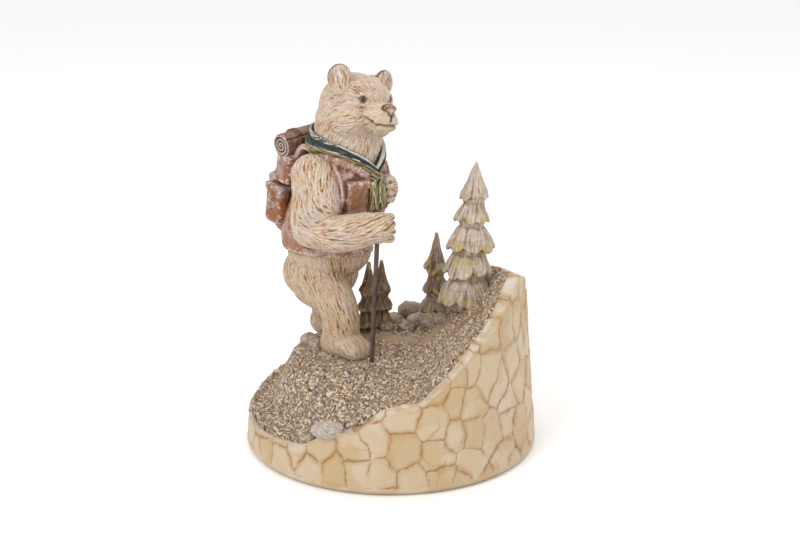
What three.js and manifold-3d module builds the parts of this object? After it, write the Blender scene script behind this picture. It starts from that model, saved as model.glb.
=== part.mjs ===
// A cast resin bear hiker with pack and neckerchief on a hewn mound with four fir trees,
// and the thin metal walking staff that stands in its near paw.
// Millimetres, +Z up, +X to the right, origin at the middle of the mound's underside.
import * as THREE from "three";
import { mergeVertices } from "three/addons/utils/BufferGeometryUtils.js";
import Module from "manifold-3d";

const wasm = await Module();
wasm.setup();

// Mound
const base_radius = 95;
const hill_height = 120;
const wall_taper = 0.08;
const foot_chamfer = 3;
const facet_depth = 0.9;
const strip_width = 8;
const gravel_step = 2.4;
const gravel_roughness = 0.9;
const gravel_set_back = 7;
const lip_slope = 1.5;
const lip_drop = 0.6;
const rim_bevel = 0.8;
const mound_segments = 36;
const ground_rings = 5;
const wall_rows = 3;

// Bear: the figure's masses are written for a bear figure_scale_height tall
const bear_height = 190;
const figure_scale_height = 190;
const bear_yaw = -45;
const head_roll = -10;
const head_turn = -1.5;
const ear_turn = 22;
const roll_tilt = 6;
const roll_length = 54;
const roll_radius = 7.4;
const roll_strap_radius = 8.6;
const roll_strap_width = 4;
const sole_sink = 1.2;
const fur_depth = 1.5;

// Staff
const staff_diameter = 3;
const staff_length = 105;
const staff_clearance = 0.3;
const socket_depth = 4;
const staff_sides = 16;

// Firs: height, widest radius and how deep the foot stands in the ground
const big_fir_height = 99;
const big_fir_radius = 20;
const small_fir_height = 62;
const small_fir_radius = 11.5;
const twin_fir_height = 51.5;
const twin_fir_radius = 10;
const fir_sink = 4;
const big_fir_lean = 6;
const small_fir_lean = 1;
const bough_depth = 2.2;
const bough_raggedness = 0.07;
const neck_share = 0.66;
const fir_tip_radius = 1.6;
const fir_tip_drop = 1.2;

// The torso from hem to neck: place, height, half width and half depth
const torso = [[-8, 74, 30, 29.5], [-2, 86, 30, 29], [6.5, 102, 29, 28], [10, 114, 27, 26],
  [11, 122, 22, 22]];

// The neckerchief's drape: degrees round from its knot, height above the soles, half its width
const kerchief_drape = [[0, 121.5, 2.6], [15, 126.5, 2.8], [30, 130.3, 3], [45, 133, 3.4],
  [60, 135.5, 4], [90, 138.5, 5.2], [120, 138.5, 7.5], [150, 139, 9.5], [180, 140, 10]];

const full_turn = 2 * Math.PI;
const degree = Math.PI / 180;

// Places on the bear before it is set on the mound: ears, the nape that the head turns about,
// the middle of the near paw's grip and the middle of the bedroll
const ear_place = [21.8, 18.8, 178.2];
const far_ear_drop = 1.6;
const nape_place = [13, 0, 150];
const paw_grip_place = [51.3, -10.3, 90.5];
const roll_place = [-20.5, 0, 136.5];

// Places on the mound as shares of the base radius, and bearings in degrees from +X
const bear_place = [-0.39, 0.274];
const staff_foot_place = [-0.133, -0.179];
const big_fir_place = [0.515, 0.24];
const small_fir_place = [0.31, 0.56];
const twin_fir_places = [[-0.17, 0.52], [-0.08, 0.55]];

// The slope along X and the rim by bearing, as shares of the hill's height
const slope_outline = [[-1, 0.16], [-0.8, 0.205], [-0.63, 0.26], [-0.49, 0.33], [-0.23, 0.39],
  [0.17, 0.46], [0.35, 0.58], [0.53, 0.72], [0.7, 0.82], [0.8, 0.87], [1, 0.93]];
const rim_outline = [[-180, 0.18], [-150, 0.185], [-128, 0.21], [-115, 0.29], [-103, 0.34],
  [-92, 0.44], [-78, 0.465], [-66, 0.59], [-52, 0.74], [-40, 0.83], [-31, 0.93], [-20, 1],
  [0, 0.905], [20, 0.86], [35, 0.85], [52, 0.75], [68, 0.61], [82, 0.46], [105, 0.4],
  [128, 0.36], [145, 0.23], [165, 0.19], [180, 0.18]];
const gravel_radius = base_radius - strip_width - gravel_set_back;
const terrace = { x: -0.32, y: 0.2, across: 0.32, along: 0.46, height: 0.48, fade: 2.1 };

/** A repeatable number from -1 to 1 for a pair of whole numbers. */
function hash(i, j) {
  const wave = Math.sin(i * 127.1 + j * 311.7) * 43758.5453;
  return 2 * (wave - Math.floor(wave)) - 1;
}

/** The value of a hand-drawn outline at x, straight between its points. */
function along(outline, x) {
  let i = 0;
  while (i < outline.length - 2 && x > outline[i + 1][0]) {
    i += 1;
  }
  const [x0, y0] = outline[i];
  const [x1, y1] = outline[i + 1];
  const share = THREE.MathUtils.clamp((x - x0) / (x1 - x0), 0, 1);
  return THREE.MathUtils.lerp(y0, y1, share);
}

/** Turns a closed geometry into a solid, after an optional move. */
function solid(geometry, matrix) {
  const skin = geometry.clone();
  skin.deleteAttribute("normal");
  skin.deleteAttribute("uv");
  if (matrix) {
    skin.applyMatrix4(matrix);
  }
  const merged = mergeVertices(skin, 1e-4);
  const mesh = new wasm.Mesh({
    numProp: 3,
    vertProperties: new Float32Array(merged.attributes.position.array),
    triVerts: new Uint32Array(merged.index.array),
  });
  return new wasm.Manifold(mesh);
}

/** Joins a list of solids into one. */
function join(solids) {
  return solids.reduce((whole, piece) => whole.add(piece));
}

/** Fills the small hollows that joined masses leave sealed between them. */
function filled(body) {
  return join(body.decompose().filter((skin) => skin.volume() > 0));
}

/** The geometry of a finished solid. */
function geometryOf(body) {
  const mesh = body.getMesh();
  const geometry = new THREE.BufferGeometry();
  geometry.setAttribute("position", new THREE.BufferAttribute(mesh.vertProperties, 3));
  geometry.setIndex(new THREE.BufferAttribute(mesh.triVerts, 1));
  geometry.computeVertexNormals();
  return geometry;
}

/** A closed skin of rings between two poles; place gives each point from its ring and turn. */
function shell(rings, segments, place) {
  const geometry = new THREE.SphereGeometry(1, segments, rings);
  const position = geometry.attributes.position;
  for (let i = 0; i < position.count; i += 1) {
    const ring = Math.floor(i / (segments + 1));
    const pole = ring === 0 || ring === rings;
    const segment = pole ? 0 : (i % (segments + 1)) % segments;
    const point = place(ring, (segment / segments) * full_turn, segment);
    position.setXYZ(i, point.x, point.y, point.z);
  }
  return geometry;
}

/** Alternate locks stand out and in, like staggered carved tufts. */
function tuft(ring, segment, depth) {
  return (ring + segment) % 2 === 0 ? depth / 2 : -depth / 2;
}

/** An egg with its half sizes along X, Y and Z, tufted by fur. */
function ball(centre, half, rings = 6, segments = 10, fur = 0) {
  return shell(rings, segments, (ring, turn, segment) => {
    const lean = (ring / rings) * Math.PI;
    const relief = ring === 0 || ring === rings ? 0 : tuft(ring, segment, fur);
    const out = new THREE.Vector3(
      Math.sin(lean) * Math.cos(turn),
      Math.sin(lean) * Math.sin(turn),
      Math.cos(lean),
    );
    return new THREE.Vector3(...centre).add(new THREE.Vector3(
      out.x * (half[0] + relief),
      out.y * (half[1] + relief),
      out.z * (half[2] + relief),
    ));
  });
}

/** Pushes a sine or cosine outwards, so that a round section turns into a rounded box. */
function boxy(value, square) {
  return Math.sign(value) * Math.abs(value) ** (1 - square);
}

/**
 * A rounded body along a smooth line through stations [x, y, z, side, thick]:
 * side is the half width towards across, thick the half width square to it,
 * square runs from a round section at 0 towards a box, and dome is how far the ends bulge.
 */
function limb(stations, options = {}) {
  const { rings = 8, caps = 3, segments = 12, across = [0, 1, 0] } = options;
  const { fur = 0, square = 0, dome = 1 } = options;
  const line = new THREE.CatmullRomCurve3(stations.map(([x, y, z]) => new THREE.Vector3(x, y, z)));
  const widths = new THREE.CatmullRomCurve3(stations.map(([, , , a, b]) => new THREE.Vector3(a, b, 0)));
  const all_rings = rings + 2 * caps;
  return shell(all_rings, segments, (ring, turn, segment) => {
    const before = Math.max(caps - ring, 0);
    const after = Math.max(ring - caps - rings, 0);
    const share = THREE.MathUtils.clamp((ring - caps) / rings, 0, 1);
    const lean = ((before + after) / caps) * (Math.PI / 2);
    const centre = line.getPoint(share);
    const tangent = line.getTangent(share);
    const width = widths.getPoint(share);
    const side = new THREE.Vector3(...across).addScaledVector(
      tangent,
      -tangent.dot(new THREE.Vector3(...across)),
    ).normalize();
    const normal = tangent.clone().cross(side);
    const reach = dome * Math.min(width.x, width.y) * Math.sin(lean) * (before > 0 ? -1 : 1);
    const close = before + after === caps ? 0 : boxy(Math.cos(lean), square);
    const relief = before + after > 0 ? 0 : tuft(ring, segment, fur);
    return centre
      .addScaledVector(tangent, reach)
      .addScaledVector(side, boxy(Math.cos(turn), square) * (width.x * close + relief))
      .addScaledVector(normal, -boxy(Math.sin(turn), square) * (width.y * close + relief));
  });
}

/** A flat strip of cloth or webbing along points, turned so that its width lies along across. */
function strap(points, width, thickness, across, steps = 8) {
  const section = [[1, 1], [-1, 1], [-1, -1], [1, -1]];
  const line = new THREE.CatmullRomCurve3(points.map((point) => new THREE.Vector3(...point)));
  return shell(steps, section.length, (ring, turn, segment) => {
    const share = ring / steps;
    const centre = line.getPoint(share);
    const tangent = line.getTangent(share);
    const side = new THREE.Vector3(...across).addScaledVector(
      tangent,
      -tangent.dot(new THREE.Vector3(...across)),
    ).normalize();
    const normal = tangent.clone().cross(side);
    const end = ring === 0 || ring === steps ? 0 : 1;
    return centre
      .addScaledVector(side, (end * section[segment][0] * width) / 2)
      .addScaledVector(normal, (-end * section[segment][1] * thickness) / 2);
  });
}

/** A closed band round a tilted loop; place gives the middle and half sizes at each turn. */
function band(segments, sides, place) {
  const geometry = new THREE.TorusGeometry(1, 0.3, sides, segments);
  const position = geometry.attributes.position;
  for (let i = 0; i < position.count; i += 1) {
    const side = Math.floor(i / (segments + 1)) % sides;
    const segment = (i % (segments + 1)) % segments;
    const turn = (segment / segments) * full_turn;
    const { radius_x, radius_y, x, z, thick, tall } = place(turn);
    const lean = (side / sides) * full_turn;
    const out = Math.cos(lean) * thick;
    position.setXYZ(
      i,
      x + Math.cos(turn) * (radius_x + out),
      Math.sin(turn) * (radius_y + out),
      z + Math.sin(lean) * tall,
    );
  }
  return geometry;
}

/** The height of the ground above the underside at a place on the mound. */
function groundHeight(x, y) {
  const east = x / base_radius;
  const north = y / base_radius;
  const slope = along(slope_outline, east);
  const away = Math.hypot((east - terrace.x) / terrace.across, (north - terrace.y) / terrace.along);
  const level = 1 - THREE.MathUtils.smoothstep(away, 1, terrace.fade);
  return hill_height * THREE.MathUtils.lerp(slope, Math.max(terrace.height, slope), level);
}

/** The height of the rim above the underside at a bearing in radians. */
function rimHeight(turn) {
  const bearing = turn > Math.PI ? turn - full_turn : turn;
  return hill_height * along(rim_outline, bearing / degree);
}

/** The height of the gravel's surface, which eases from the ground to the rim near the edge. */
function surfaceHeight(x, y) {
  const radius = Math.hypot(x, y);
  const turn = Math.atan2(y, x);
  const near = THREE.MathUtils.smoothstep(radius, gravel_radius * 0.78, gravel_radius * 1.08);
  const rim = rimHeight(turn < 0 ? turn + full_turn : turn) + gravel_step;
  return THREE.MathUtils.lerp(groundHeight(x, y), rim, near);
}

/** The mound: gravel slope, smooth strip, hewn wall and flat underside. */
function moundSolid() {
  const edge = ground_rings + 1;
  const rings = edge + 2 + wall_rows + 2 + 1;
  return solid(shell(rings, mound_segments, (ring, turn, segment) => {
    const rim = rimHeight(turn);
    const point = (radius, z) => new THREE.Vector3(
      radius * Math.cos(turn),
      radius * Math.sin(turn),
      z,
    );
    const wallRadius = (z) => base_radius - wall_taper * z;
    if (ring <= ground_rings) {
      const radius = gravel_radius * (ring / ground_rings);
      const rough = ring === 0 ? 0 : gravel_roughness * hash(ring, segment);
      const x = radius * Math.cos(turn);
      const y = radius * Math.sin(turn);
      return point(radius, surfaceHeight(x, y) + rough);
    }
    if (ring === edge) {
      return point(wallRadius(rim) - strip_width + hash(segment, 3), rim + gravel_step);
    }
    if (ring === edge + 1) {
      return point(wallRadius(rim) - strip_width + lip_slope + hash(segment, 3), rim + lip_drop);
    }
    if (ring === edge + 2) {
      return point(wallRadius(rim) - rim_bevel / 2, rim - rim_bevel + lip_drop * hash(segment, 7));
    }
    if (ring < edge + 3 + wall_rows) {
      const share = (ring - edge - 2) / (wall_rows + 1);
      const z = THREE.MathUtils.lerp(rim - rim_bevel, foot_chamfer, share);
      return point(wallRadius(z) + facet_depth * hash(ring, segment) - facet_depth, z);
    }
    if (ring === rings - 2) {
      return point(wallRadius(foot_chamfer), foot_chamfer);
    }
    return point(ring === rings ? 0 : base_radius - foot_chamfer, 0);
  }));
}

/** A weathered stone lying on the ground. */
function stone(x, y, half, lift = 0.3) {
  const geometry = new THREE.IcosahedronGeometry(1, 0);
  const position = geometry.attributes.position;
  const z = surfaceHeight(x, y) + half[2] * lift;
  const turned = new THREE.Vector3();
  for (let i = 0; i < position.count; i += 1) {
    turned.fromBufferAttribute(position, i);
    const rough = 1 + 0.12 * hash(Math.round(turned.x * 9) + x, Math.round(turned.z * 9) + y);
    position.setXYZ(i, x + turned.x * half[0] * rough, y + turned.y * half[1] * rough,
      z + turned.z * half[2] * rough);
  }
  return solid(geometry);
}

/**
 * A fir of drooping boughs in one turned skin. tiers lists each skirt's lower edge as shares
 * of the height from the tip and of the widest radius; lobes scallop the edges.
 */
function fir([east, north], height, radius, lean, tiers, segments) {
  const x = east * base_radius;
  const y = north * base_radius;
  const foot = surfaceHeight(x, y) - fir_sink;
  const top = foot + height;
  const outline = [[fir_tip_drop / height, fir_tip_radius / radius, 0, 0]];
  tiers.forEach(([drop, reach], tier) => {
    const above = tier === 0 ? [0, 0] : tiers[tier - 1];
    const neck = above[1] * neck_share;
    outline.push([(above[0] + drop) / 2, THREE.MathUtils.lerp(neck, reach, 0.45), 0.3, tier]);
    outline.push([drop, reach, 1, tier]);
    outline.push([drop - 0.01, reach * 0.7, 0.4, tier]);
  });
  const last = tiers[tiers.length - 1];
  outline.push([1, last[1] * 0.62, 0, tiers.length]);
  const rings = outline.length + 1;
  return solid(shell(rings, segments, (ring, turn, segment) => {
    if (ring === 0) {
      return new THREE.Vector3(x + lean, y, top);
    }
    if (ring === rings) {
      return new THREE.Vector3(x, y, foot);
    }
    const [drop, reach, scallop, tier] = outline[ring - 1];
    const lobe = (segment + tier) % 2 === 0 ? 1 : -1;
    const ragged = 1 + bough_raggedness * hash(segment + 5 * tier, segments) * scallop;
    const depth = lobe * scallop * bough_depth * (radius / big_fir_radius);
    const out = reach * radius * ragged + depth / 2;
    const z = top - drop * height - depth;
    const shift = lean * (1 - drop);
    return new THREE.Vector3(
      x + shift + out * Math.cos(turn),
      y + out * Math.sin(turn),
      Math.max(z, foot),
    );
  }));
}

/** An egg in an ear's own frame, which is turned a little outwards. */
function ear(side, centre, half, rings, segments) {
  const drop = side > 0 ? far_ear_drop : 0;
  const turned = new THREE.Matrix4()
    .makeTranslation(ear_place[0], side * ear_place[1], ear_place[2] - drop)
    .multiply(new THREE.Matrix4().makeRotationZ(side * ear_turn * degree));
  return ball(centre, half, rings, segments).applyMatrix4(turned);
}

/** The head and face: skull, brow, cheeks, muzzle, nose, chin, eyes and hollowed ears. */
function headSolid(matrix) {
  const nape = new THREE.Vector3(...nape_place);
  const placed = matrix.clone()
    .multiply(new THREE.Matrix4().makeTranslation(nape.x, nape.y, nape.z))
    .multiply(new THREE.Matrix4().makeRotationZ(head_turn * degree))
    .multiply(new THREE.Matrix4().makeRotationX(head_roll * degree))
    .multiply(new THREE.Matrix4().makeTranslation(-nape.x, -nape.y, -nape.z));
  const make = (geometry) => solid(geometry, placed);
  const masses = [
    make(ball([17.3, 0, 160], [21.8, 22, 22], 8, 12, fur_depth * 0.8)),
    make(ball([27, 0, 166], [15.5, 19, 13.5], 5, 10, fur_depth * 0.5)),
    make(limb([[28, 0, 158, 14, 13], [38, 0, 157.5, 11, 10.5], [45, 0, 157.5, 8.5, 8]],
      { rings: 3, caps: 2, segments: 10 })),
    make(ball([49.2, 0, 162], [4, 6, 4.2], 4, 8)),
    make(ball([41, 0, 150.5], [8.5, 6.5, 4.5], 4, 6)),
  ];
  for (const side of [-1, 1]) {
    masses.push(make(ball([25, side * 11, 155], [15, 13, 13.5], 5, 10, fur_depth * 0.5)));
    masses.push(make(ball([47.5, side * 3.6, 155], [6.5, 5, 6], 4, 6)));
    masses.push(make(ball([37.5, side * 11.6, 167], [2.6, 2.4, 2.4], 3, 6)));
    masses.push(make(ear(side, [0, 0, 0], [4.4, 8.4, 9], 6, 10)));
  }
  const hollows = [-1, 1].map((side) => make(ear(side, [4.4, 0, 0.8], [3.2, 5.4, 5.6], 4, 6)));
  return join(masses).subtract(join(hollows));
}

/** The furred neck, pelvis, legs and feet. */
function bodySolid(matrix) {
  const make = (geometry) => solid(geometry, matrix);
  const fur = fur_depth;
  return join([
    make(limb([[9, 0, 116, 22, 22], [13, 0, 130, 22.5, 22.5], [14, 0, 150, 22, 21]],
      { rings: 4, caps: 2, segments: 12, fur })),
    make(ball([-14, 0, 46], [25.5, 25, 20], 7, 12, fur)),
    make(ball([-5, 0, 62], [28, 28, 18], 5, 12)),
    make(limb([[-4, -14, 44, 15, 17], [12, -13, 36, 13, 14], [18, -12, 24, 12, 12.5],
      [18, -12, 8, 12, 12.5]], { rings: 5, caps: 2, segments: 10, fur })),
    make(limb([[-16, 14, 44, 15, 17], [-19, 13, 32, 13, 13], [-20, 13, 22, 12, 12],
      [-20, 13, 8, 12, 12]], { rings: 5, caps: 2, segments: 10, fur })),
    make(limb([[14, -12, 6.5, 11.5, 10], [26, -12, 6.5, 11.5, 8.5], [35, -12, 4.5, 10.5, 6]],
      { rings: 3, caps: 2, segments: 10, fur })),
    make(limb([[-24, 13, 6.5, 11.5, 10], [-12, 13, 6.5, 11.5, 8.5], [-3, 13, 4.5, 10.5, 6]],
      { rings: 3, caps: 2, segments: 10, fur })),
  ]);
}

/** Both furred arms: the near one holds the staff, the far one holds the strap at the chest. */
function armsSolid(matrix) {
  const make = (geometry) => solid(geometry, matrix);
  const fur = fur_depth;
  const upright = [0, 0, 1];
  const masses = [
    make(limb([[9, -26, 119, 14, 15], [17, -31, 105, 14.5, 17], [13, -33, 90, 13, 16.5],
      [10, -33, 85, 12, 14]], { rings: 5, caps: 2, segments: 10, fur })),
    make(limb([[10, -33, 84, 13, 12], [29.5, -30, 85.5, 12, 11.5], [41.5, -24, 88, 11.6, 10.5],
      [48, -16, 90, 10.5, 9.5]], { rings: 6, caps: 2, segments: 10, across: upright, fur })),
    make(ball([52.5, -10, 90.5], [8.5, 8.5, 10], 5, 8, fur * 0.5)),
    make(limb([[-5, 20, 115, 11, 12], [-8, 26, 103, 12, 12.5], [-9, 30, 90, 11.5, 12.5]],
      { rings: 4, caps: 2, segments: 10, fur })),
    make(limb([[-9, 30, 89, 11.5, 11.5], [8, 28, 96, 10.5, 10], [24.4, 19.4, 104, 9.5, 9]],
      { rings: 4, caps: 2, segments: 10, across: upright, fur })),
    make(ball([34.3, 13.8, 108.5], [8, 7.5, 9], 5, 8)),
  ];
  for (let finger = 0; finger < 4; finger += 1) {
    const step = finger - 1.5;
    masses.push(make(ball([57.5 - Math.abs(step), -5.5, 90 + 4.6 * step], [3.4, 4.2, 2.7], 3, 6)));
    masses.push(make(ball([39.6 - Math.abs(step), 12.3, 108.5 + 4.4 * step], [3.4, 5, 2.6], 3, 6)));
  }
  return join(masses);
}

/** The front of the torso at a distance from its middle plane and a height above the soles. */
function chestFront(side, height) {
  const middle = along(torso.map(([x, z]) => [z, x]), height);
  const half_width = along(torso.map(([, z, wide]) => [z, wide]), height);
  const half_depth = along(torso.map(([, z, , deep]) => [z, deep]), height);
  return middle + half_depth * Math.sqrt(1 - (side / half_width) ** 2);
}

/** The sleeveless vest with its hem band, chest pockets and the shoulder straps of the pack. */
function vestSolid(matrix) {
  const make = (geometry) => solid(geometry, matrix);
  const masses = [
    make(limb(torso.map(([x, z, wide, deep]) => [x, 0, z, wide, deep]),
      { rings: 5, caps: 2, segments: 14 })),
    make(band(16, 4, () => ({ radius_x: 29, radius_y: 29, x: -6.5, z: 63, thick: 2.6, tall: 4 }))),
  ];
  for (const side of [-1, 1]) {
    const front = [120, 108, 96, 84].map((z) => [chestFront(18, z) + 0.6, side * 18, z]);
    masses.push(make(strap(
      [[-18, side * 17, 122], [-6, side * 18, 134], [11, side * 18, 129], ...front],
      8,
      4,
      [0, 1, 0.2 * side],
      7,
    )));
    const pocket = [110, 99, 88].map((z) => [chestFront(9, z) - 0.5, side * 9, z, 6.5, 3.2]);
    masses.push(make(limb(pocket, { rings: 2, caps: 1, segments: 8, square: 0.4, dome: 0.4 })));
  }
  return join(masses);
}

/** The pack on the back: bag, back pocket, top flap, side pouches and the strapped bedroll. */
function packSolid(matrix) {
  const make = (geometry) => solid(geometry, matrix);
  const box = { caps: 1, segments: 8, square: 0.45, dome: 0.35 };
  const rolled = (radius, length, side, segments) => (
    make(new THREE.CylinderGeometry(radius, radius, length, segments)
      .applyMatrix4(new THREE.Matrix4().makeTranslation(0, side, 0))
      .applyMatrix4(new THREE.Matrix4().makeRotationX(roll_tilt * degree))
      .applyMatrix4(new THREE.Matrix4().makeTranslation(...roll_place)))
  );
  const masses = [
    make(limb([[-33, 0, 80, 22, 12], [-30.6, 0, 102, 22.5, 14], [-26.2, 0, 130, 21.5, 12.5]],
      { ...box, rings: 3, segments: 12 })),
    make(limb([[-44, 0, 82, 15, 5], [-41, 0, 106, 15, 5]], { ...box, rings: 1 })),
    make(limb([[-34, 0, 112, 18, 7], [-29, 0, 129, 17, 7]], { ...box, rings: 1 })),
    rolled(roll_radius, roll_length, 0, 12),
  ];
  for (const side of [-1, 1]) {
    masses.push(make(limb([[-33, side * 22.5, 81, 5, 8], [-27, side * 22.5, 105, 4.5, 8]],
      { ...box, rings: 1 })));
    masses.push(make(limb([[-22, side * 21.5, 112, 5, 8], [-19, side * 21.5, 127, 4.5, 7.5]],
      { ...box, rings: 1 })));
    masses.push(rolled(roll_strap_radius, roll_strap_width, side * 15, 12));
  }
  return join(masses);
}

/** The neckerchief: a folded band drawn in towards its knot, the knot and two hanging tails. */
function kerchiefSolid(matrix) {
  const make = (geometry) => solid(geometry, matrix);
  return join([
    make(band(18, 4, (turn) => {
      const round = Math.acos(Math.cos(turn)) / degree;
      const far = Math.max(Math.sin(turn), 0);
      return {
        radius_x: 25 - 1.5 * far,
        radius_y: 23.5 - 3.5 * Math.max(Math.cos(turn), 0) - 3 * far,
        x: 14,
        z: along(kerchief_drape, round),
        thick: 2.8,
        tall: along(kerchief_drape.map(([angle, , half]) => [angle, half]), round),
      };
    })),
    make(ball([40, -0.5, 119.5], [4, 4.6, 4.2], 4, 6)),
    make(limb([[40, -1, 117, 3, 2], [40, -3.5, 108, 4.5, 2.4], [40, -4, 100, 4.5, 2.2]],
      { rings: 2, caps: 1, segments: 6 })),
    make(limb([[40, 0, 117, 3, 2], [40.5, 2.5, 108, 4.5, 2.4], [41, 3.5, 100, 4, 2.2]],
      { rings: 2, caps: 1, segments: 6 })),
  ]);
}

/** The whole bear, turned and set on its feet. */
function bearSolid(matrix) {
  return join([
    headSolid(matrix),
    bodySolid(matrix),
    armsSolid(matrix),
    vestSolid(matrix),
    packSolid(matrix),
    kerchiefSolid(matrix),
  ]);
}

const bear_x = bear_place[0] * base_radius;
const bear_y = bear_place[1] * base_radius;
const bear_scale = bear_height / figure_scale_height;
const bear_matrix = new THREE.Matrix4()
  .makeTranslation(bear_x, bear_y, surfaceHeight(bear_x, bear_y) - sole_sink)
  .multiply(new THREE.Matrix4().makeRotationZ(bear_yaw * degree))
  .multiply(new THREE.Matrix4().makeScale(bear_scale, bear_scale, bear_scale));

// The staff stands in a socket in front of the near foot and leans through the near paw
const staff_x = staff_foot_place[0] * base_radius;
const staff_y = staff_foot_place[1] * base_radius;
const staff_foot = new THREE.Vector3(staff_x, staff_y, surfaceHeight(staff_x, staff_y) - socket_depth);
const paw_grip = new THREE.Vector3(...paw_grip_place).applyMatrix4(bear_matrix);
const staff_axis = paw_grip.clone().sub(staff_foot).normalize();

/** A round rod about its own middle, before it is placed along the staff's axis. */
function rodGeometry(radius, length) {
  return new THREE.CylinderGeometry(radius, radius, length, staff_sides);
}

/** The placing of a rod whose lower end is a given way up the staff's axis. */
function rodMatrix(start, length) {
  const upright = new THREE.Quaternion().setFromUnitVectors(new THREE.Vector3(0, 1, 0), staff_axis);
  const middle = staff_foot.clone().addScaledVector(staff_axis, start + length / 2);
  return new THREE.Matrix4().compose(middle, upright, new THREE.Vector3(1, 1, 1));
}

const bore_length = staff_length + 2 * staff_clearance;
const bore = solid(
  rodGeometry(staff_diameter / 2 + staff_clearance, bore_length),
  rodMatrix(-staff_clearance, bore_length),
);

const big_tiers = [[0.24, 0.56], [0.39, 0.64], [0.58, 0.86], [0.75, 0.89], [0.95, 1]];
const small_tiers = [[0.44, 0.78], [0.66, 0.88], [0.88, 1]];

const stones = [
  stone(-0.5 * base_radius, -0.8 * base_radius, [6, 6, 6]),
  stone(-0.35 * base_radius, -0.87 * base_radius, [11, 5, 6.5]),
  stone(-0.57 * base_radius, 0.2 * base_radius, [7, 6, 6]),
  stone(-0.52 * base_radius, 0.09 * base_radius, [6, 6, 6]),
  stone(0.05 * base_radius, 0.72 * base_radius, [9, 8, 6]),
  stone(0.19 * base_radius, 0.64 * base_radius, [10, 8, 7]),
  stone(0.27 * base_radius, 0.44 * base_radius, [8, 7, 7]),
];

const cast = filled(join([
  moundSolid(),
  ...stones,
  bearSolid(bear_matrix),
  fir(big_fir_place, big_fir_height, big_fir_radius, big_fir_lean, big_tiers, 16),
  fir(small_fir_place, small_fir_height, small_fir_radius, small_fir_lean, small_tiers, 10),
  ...twin_fir_places.map((place) => (
    fir(place, twin_fir_height, twin_fir_radius, small_fir_lean, small_tiers, 10)
  )),
]).subtract(bore));

const group = new THREE.Group();

const resin = new THREE.MeshStandardMaterial({ color: 0xd8bd92, roughness: 0.7, metalness: 0 });
const bear_on_mound = new THREE.Mesh(geometryOf(cast), resin);
bear_on_mound.name = "bear_on_mound";
group.add(bear_on_mound);

const rod_metal = new THREE.MeshStandardMaterial({ color: 0x5a4438, roughness: 0.45, metalness: 0.7 });
const walking_staff = new THREE.Mesh(rodGeometry(staff_diameter / 2, staff_length), rod_metal);
walking_staff.name = "walking_staff";
walking_staff.applyMatrix4(rodMatrix(0, staff_length));
group.add(walking_staff);

export default group;
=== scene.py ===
# The looks of a cast resin bear hiker on a hewn mound: carved fur, clothes, pack, firs, gravel
# and chiselled wall, painted by hand with washes and dry brushing. Lengths are in millimetres
# while a piece is made, and a finished piece is turned to metres.
import math

import bmesh
import bpy
import numpy as np
from mathutils import Matrix, Vector, kdtree, noise


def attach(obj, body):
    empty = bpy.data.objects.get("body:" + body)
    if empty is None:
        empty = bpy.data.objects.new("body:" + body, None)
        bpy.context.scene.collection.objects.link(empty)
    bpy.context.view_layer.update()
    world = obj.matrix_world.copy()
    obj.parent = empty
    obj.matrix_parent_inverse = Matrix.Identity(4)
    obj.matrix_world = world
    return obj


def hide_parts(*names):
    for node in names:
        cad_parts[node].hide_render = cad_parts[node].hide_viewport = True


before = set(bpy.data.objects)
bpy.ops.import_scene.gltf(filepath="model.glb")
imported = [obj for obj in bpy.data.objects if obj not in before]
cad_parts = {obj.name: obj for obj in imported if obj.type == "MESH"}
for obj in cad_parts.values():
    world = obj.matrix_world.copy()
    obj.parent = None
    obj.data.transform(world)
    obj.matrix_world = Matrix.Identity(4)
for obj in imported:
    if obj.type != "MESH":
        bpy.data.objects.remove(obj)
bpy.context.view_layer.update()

MM = 0.001
CAST = "bear_on_mound"
STAFF = "walking_staff"
STILL = Matrix.Identity(4)

# Mound
base_radius = 95
hill_height = 120
wall_taper = 0.08
foot_chamfer = 3
strip_width = 8
gravel_step = 2.4
gravel_set_back = 7
gravel_radius = base_radius - strip_width - gravel_set_back
low_of_ground = 12.5
slope_outline = [(-1, 0.16), (-0.8, 0.205), (-0.63, 0.26), (-0.49, 0.33), (-0.23, 0.39),
                 (0.17, 0.46), (0.35, 0.58), (0.53, 0.72), (0.7, 0.82), (0.8, 0.87), (1, 0.93)]
rim_outline = [(-180, 0.18), (-150, 0.185), (-128, 0.21), (-115, 0.29), (-103, 0.34),
               (-92, 0.44), (-78, 0.465), (-66, 0.59), (-52, 0.74), (-40, 0.83), (-31, 0.93),
               (-20, 1), (0, 0.905), (20, 0.86), (35, 0.85), (52, 0.75), (68, 0.61), (82, 0.46),
               (105, 0.4), (128, 0.36), (145, 0.23), (165, 0.19), (180, 0.18)]
terrace = {"x": -0.32, "y": 0.2, "across": 0.32, "along": 0.46, "height": 0.48, "fade": 2.1}

# Bear
bear_place = (-0.39, 0.274)
bear_yaw = -45
head_roll = -10
head_turn = -1.5
nape_place = (13, 0, 150)
ear_place = (21.8, 18.8, 178.2)
far_ear_drop = 1.6
near_ear_turn = -22
far_ear_turn = 2
sole_sink = 1.2
roll_place = (-20.5, 0, 136.5)
roll_tilt = 6
roll_length = 54
roll_radius = 7.4
roll_strap_radius = 8.6
kerchief_drape = [(0, 121.5, 2.6), (15, 126.5, 2.8), (30, 130.3, 3), (45, 133, 3.4), (60, 135.5, 4),
                  (90, 138.5, 5.2), (120, 138.5, 7.5), (150, 139, 9.5), (180, 140, 10)]
torso = [(-8, 74, 30, 29.5), (-2, 86, 30, 29), (6.5, 102, 29, 28), (10, 114, 27, 26), (11, 122, 22, 22)]

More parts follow.
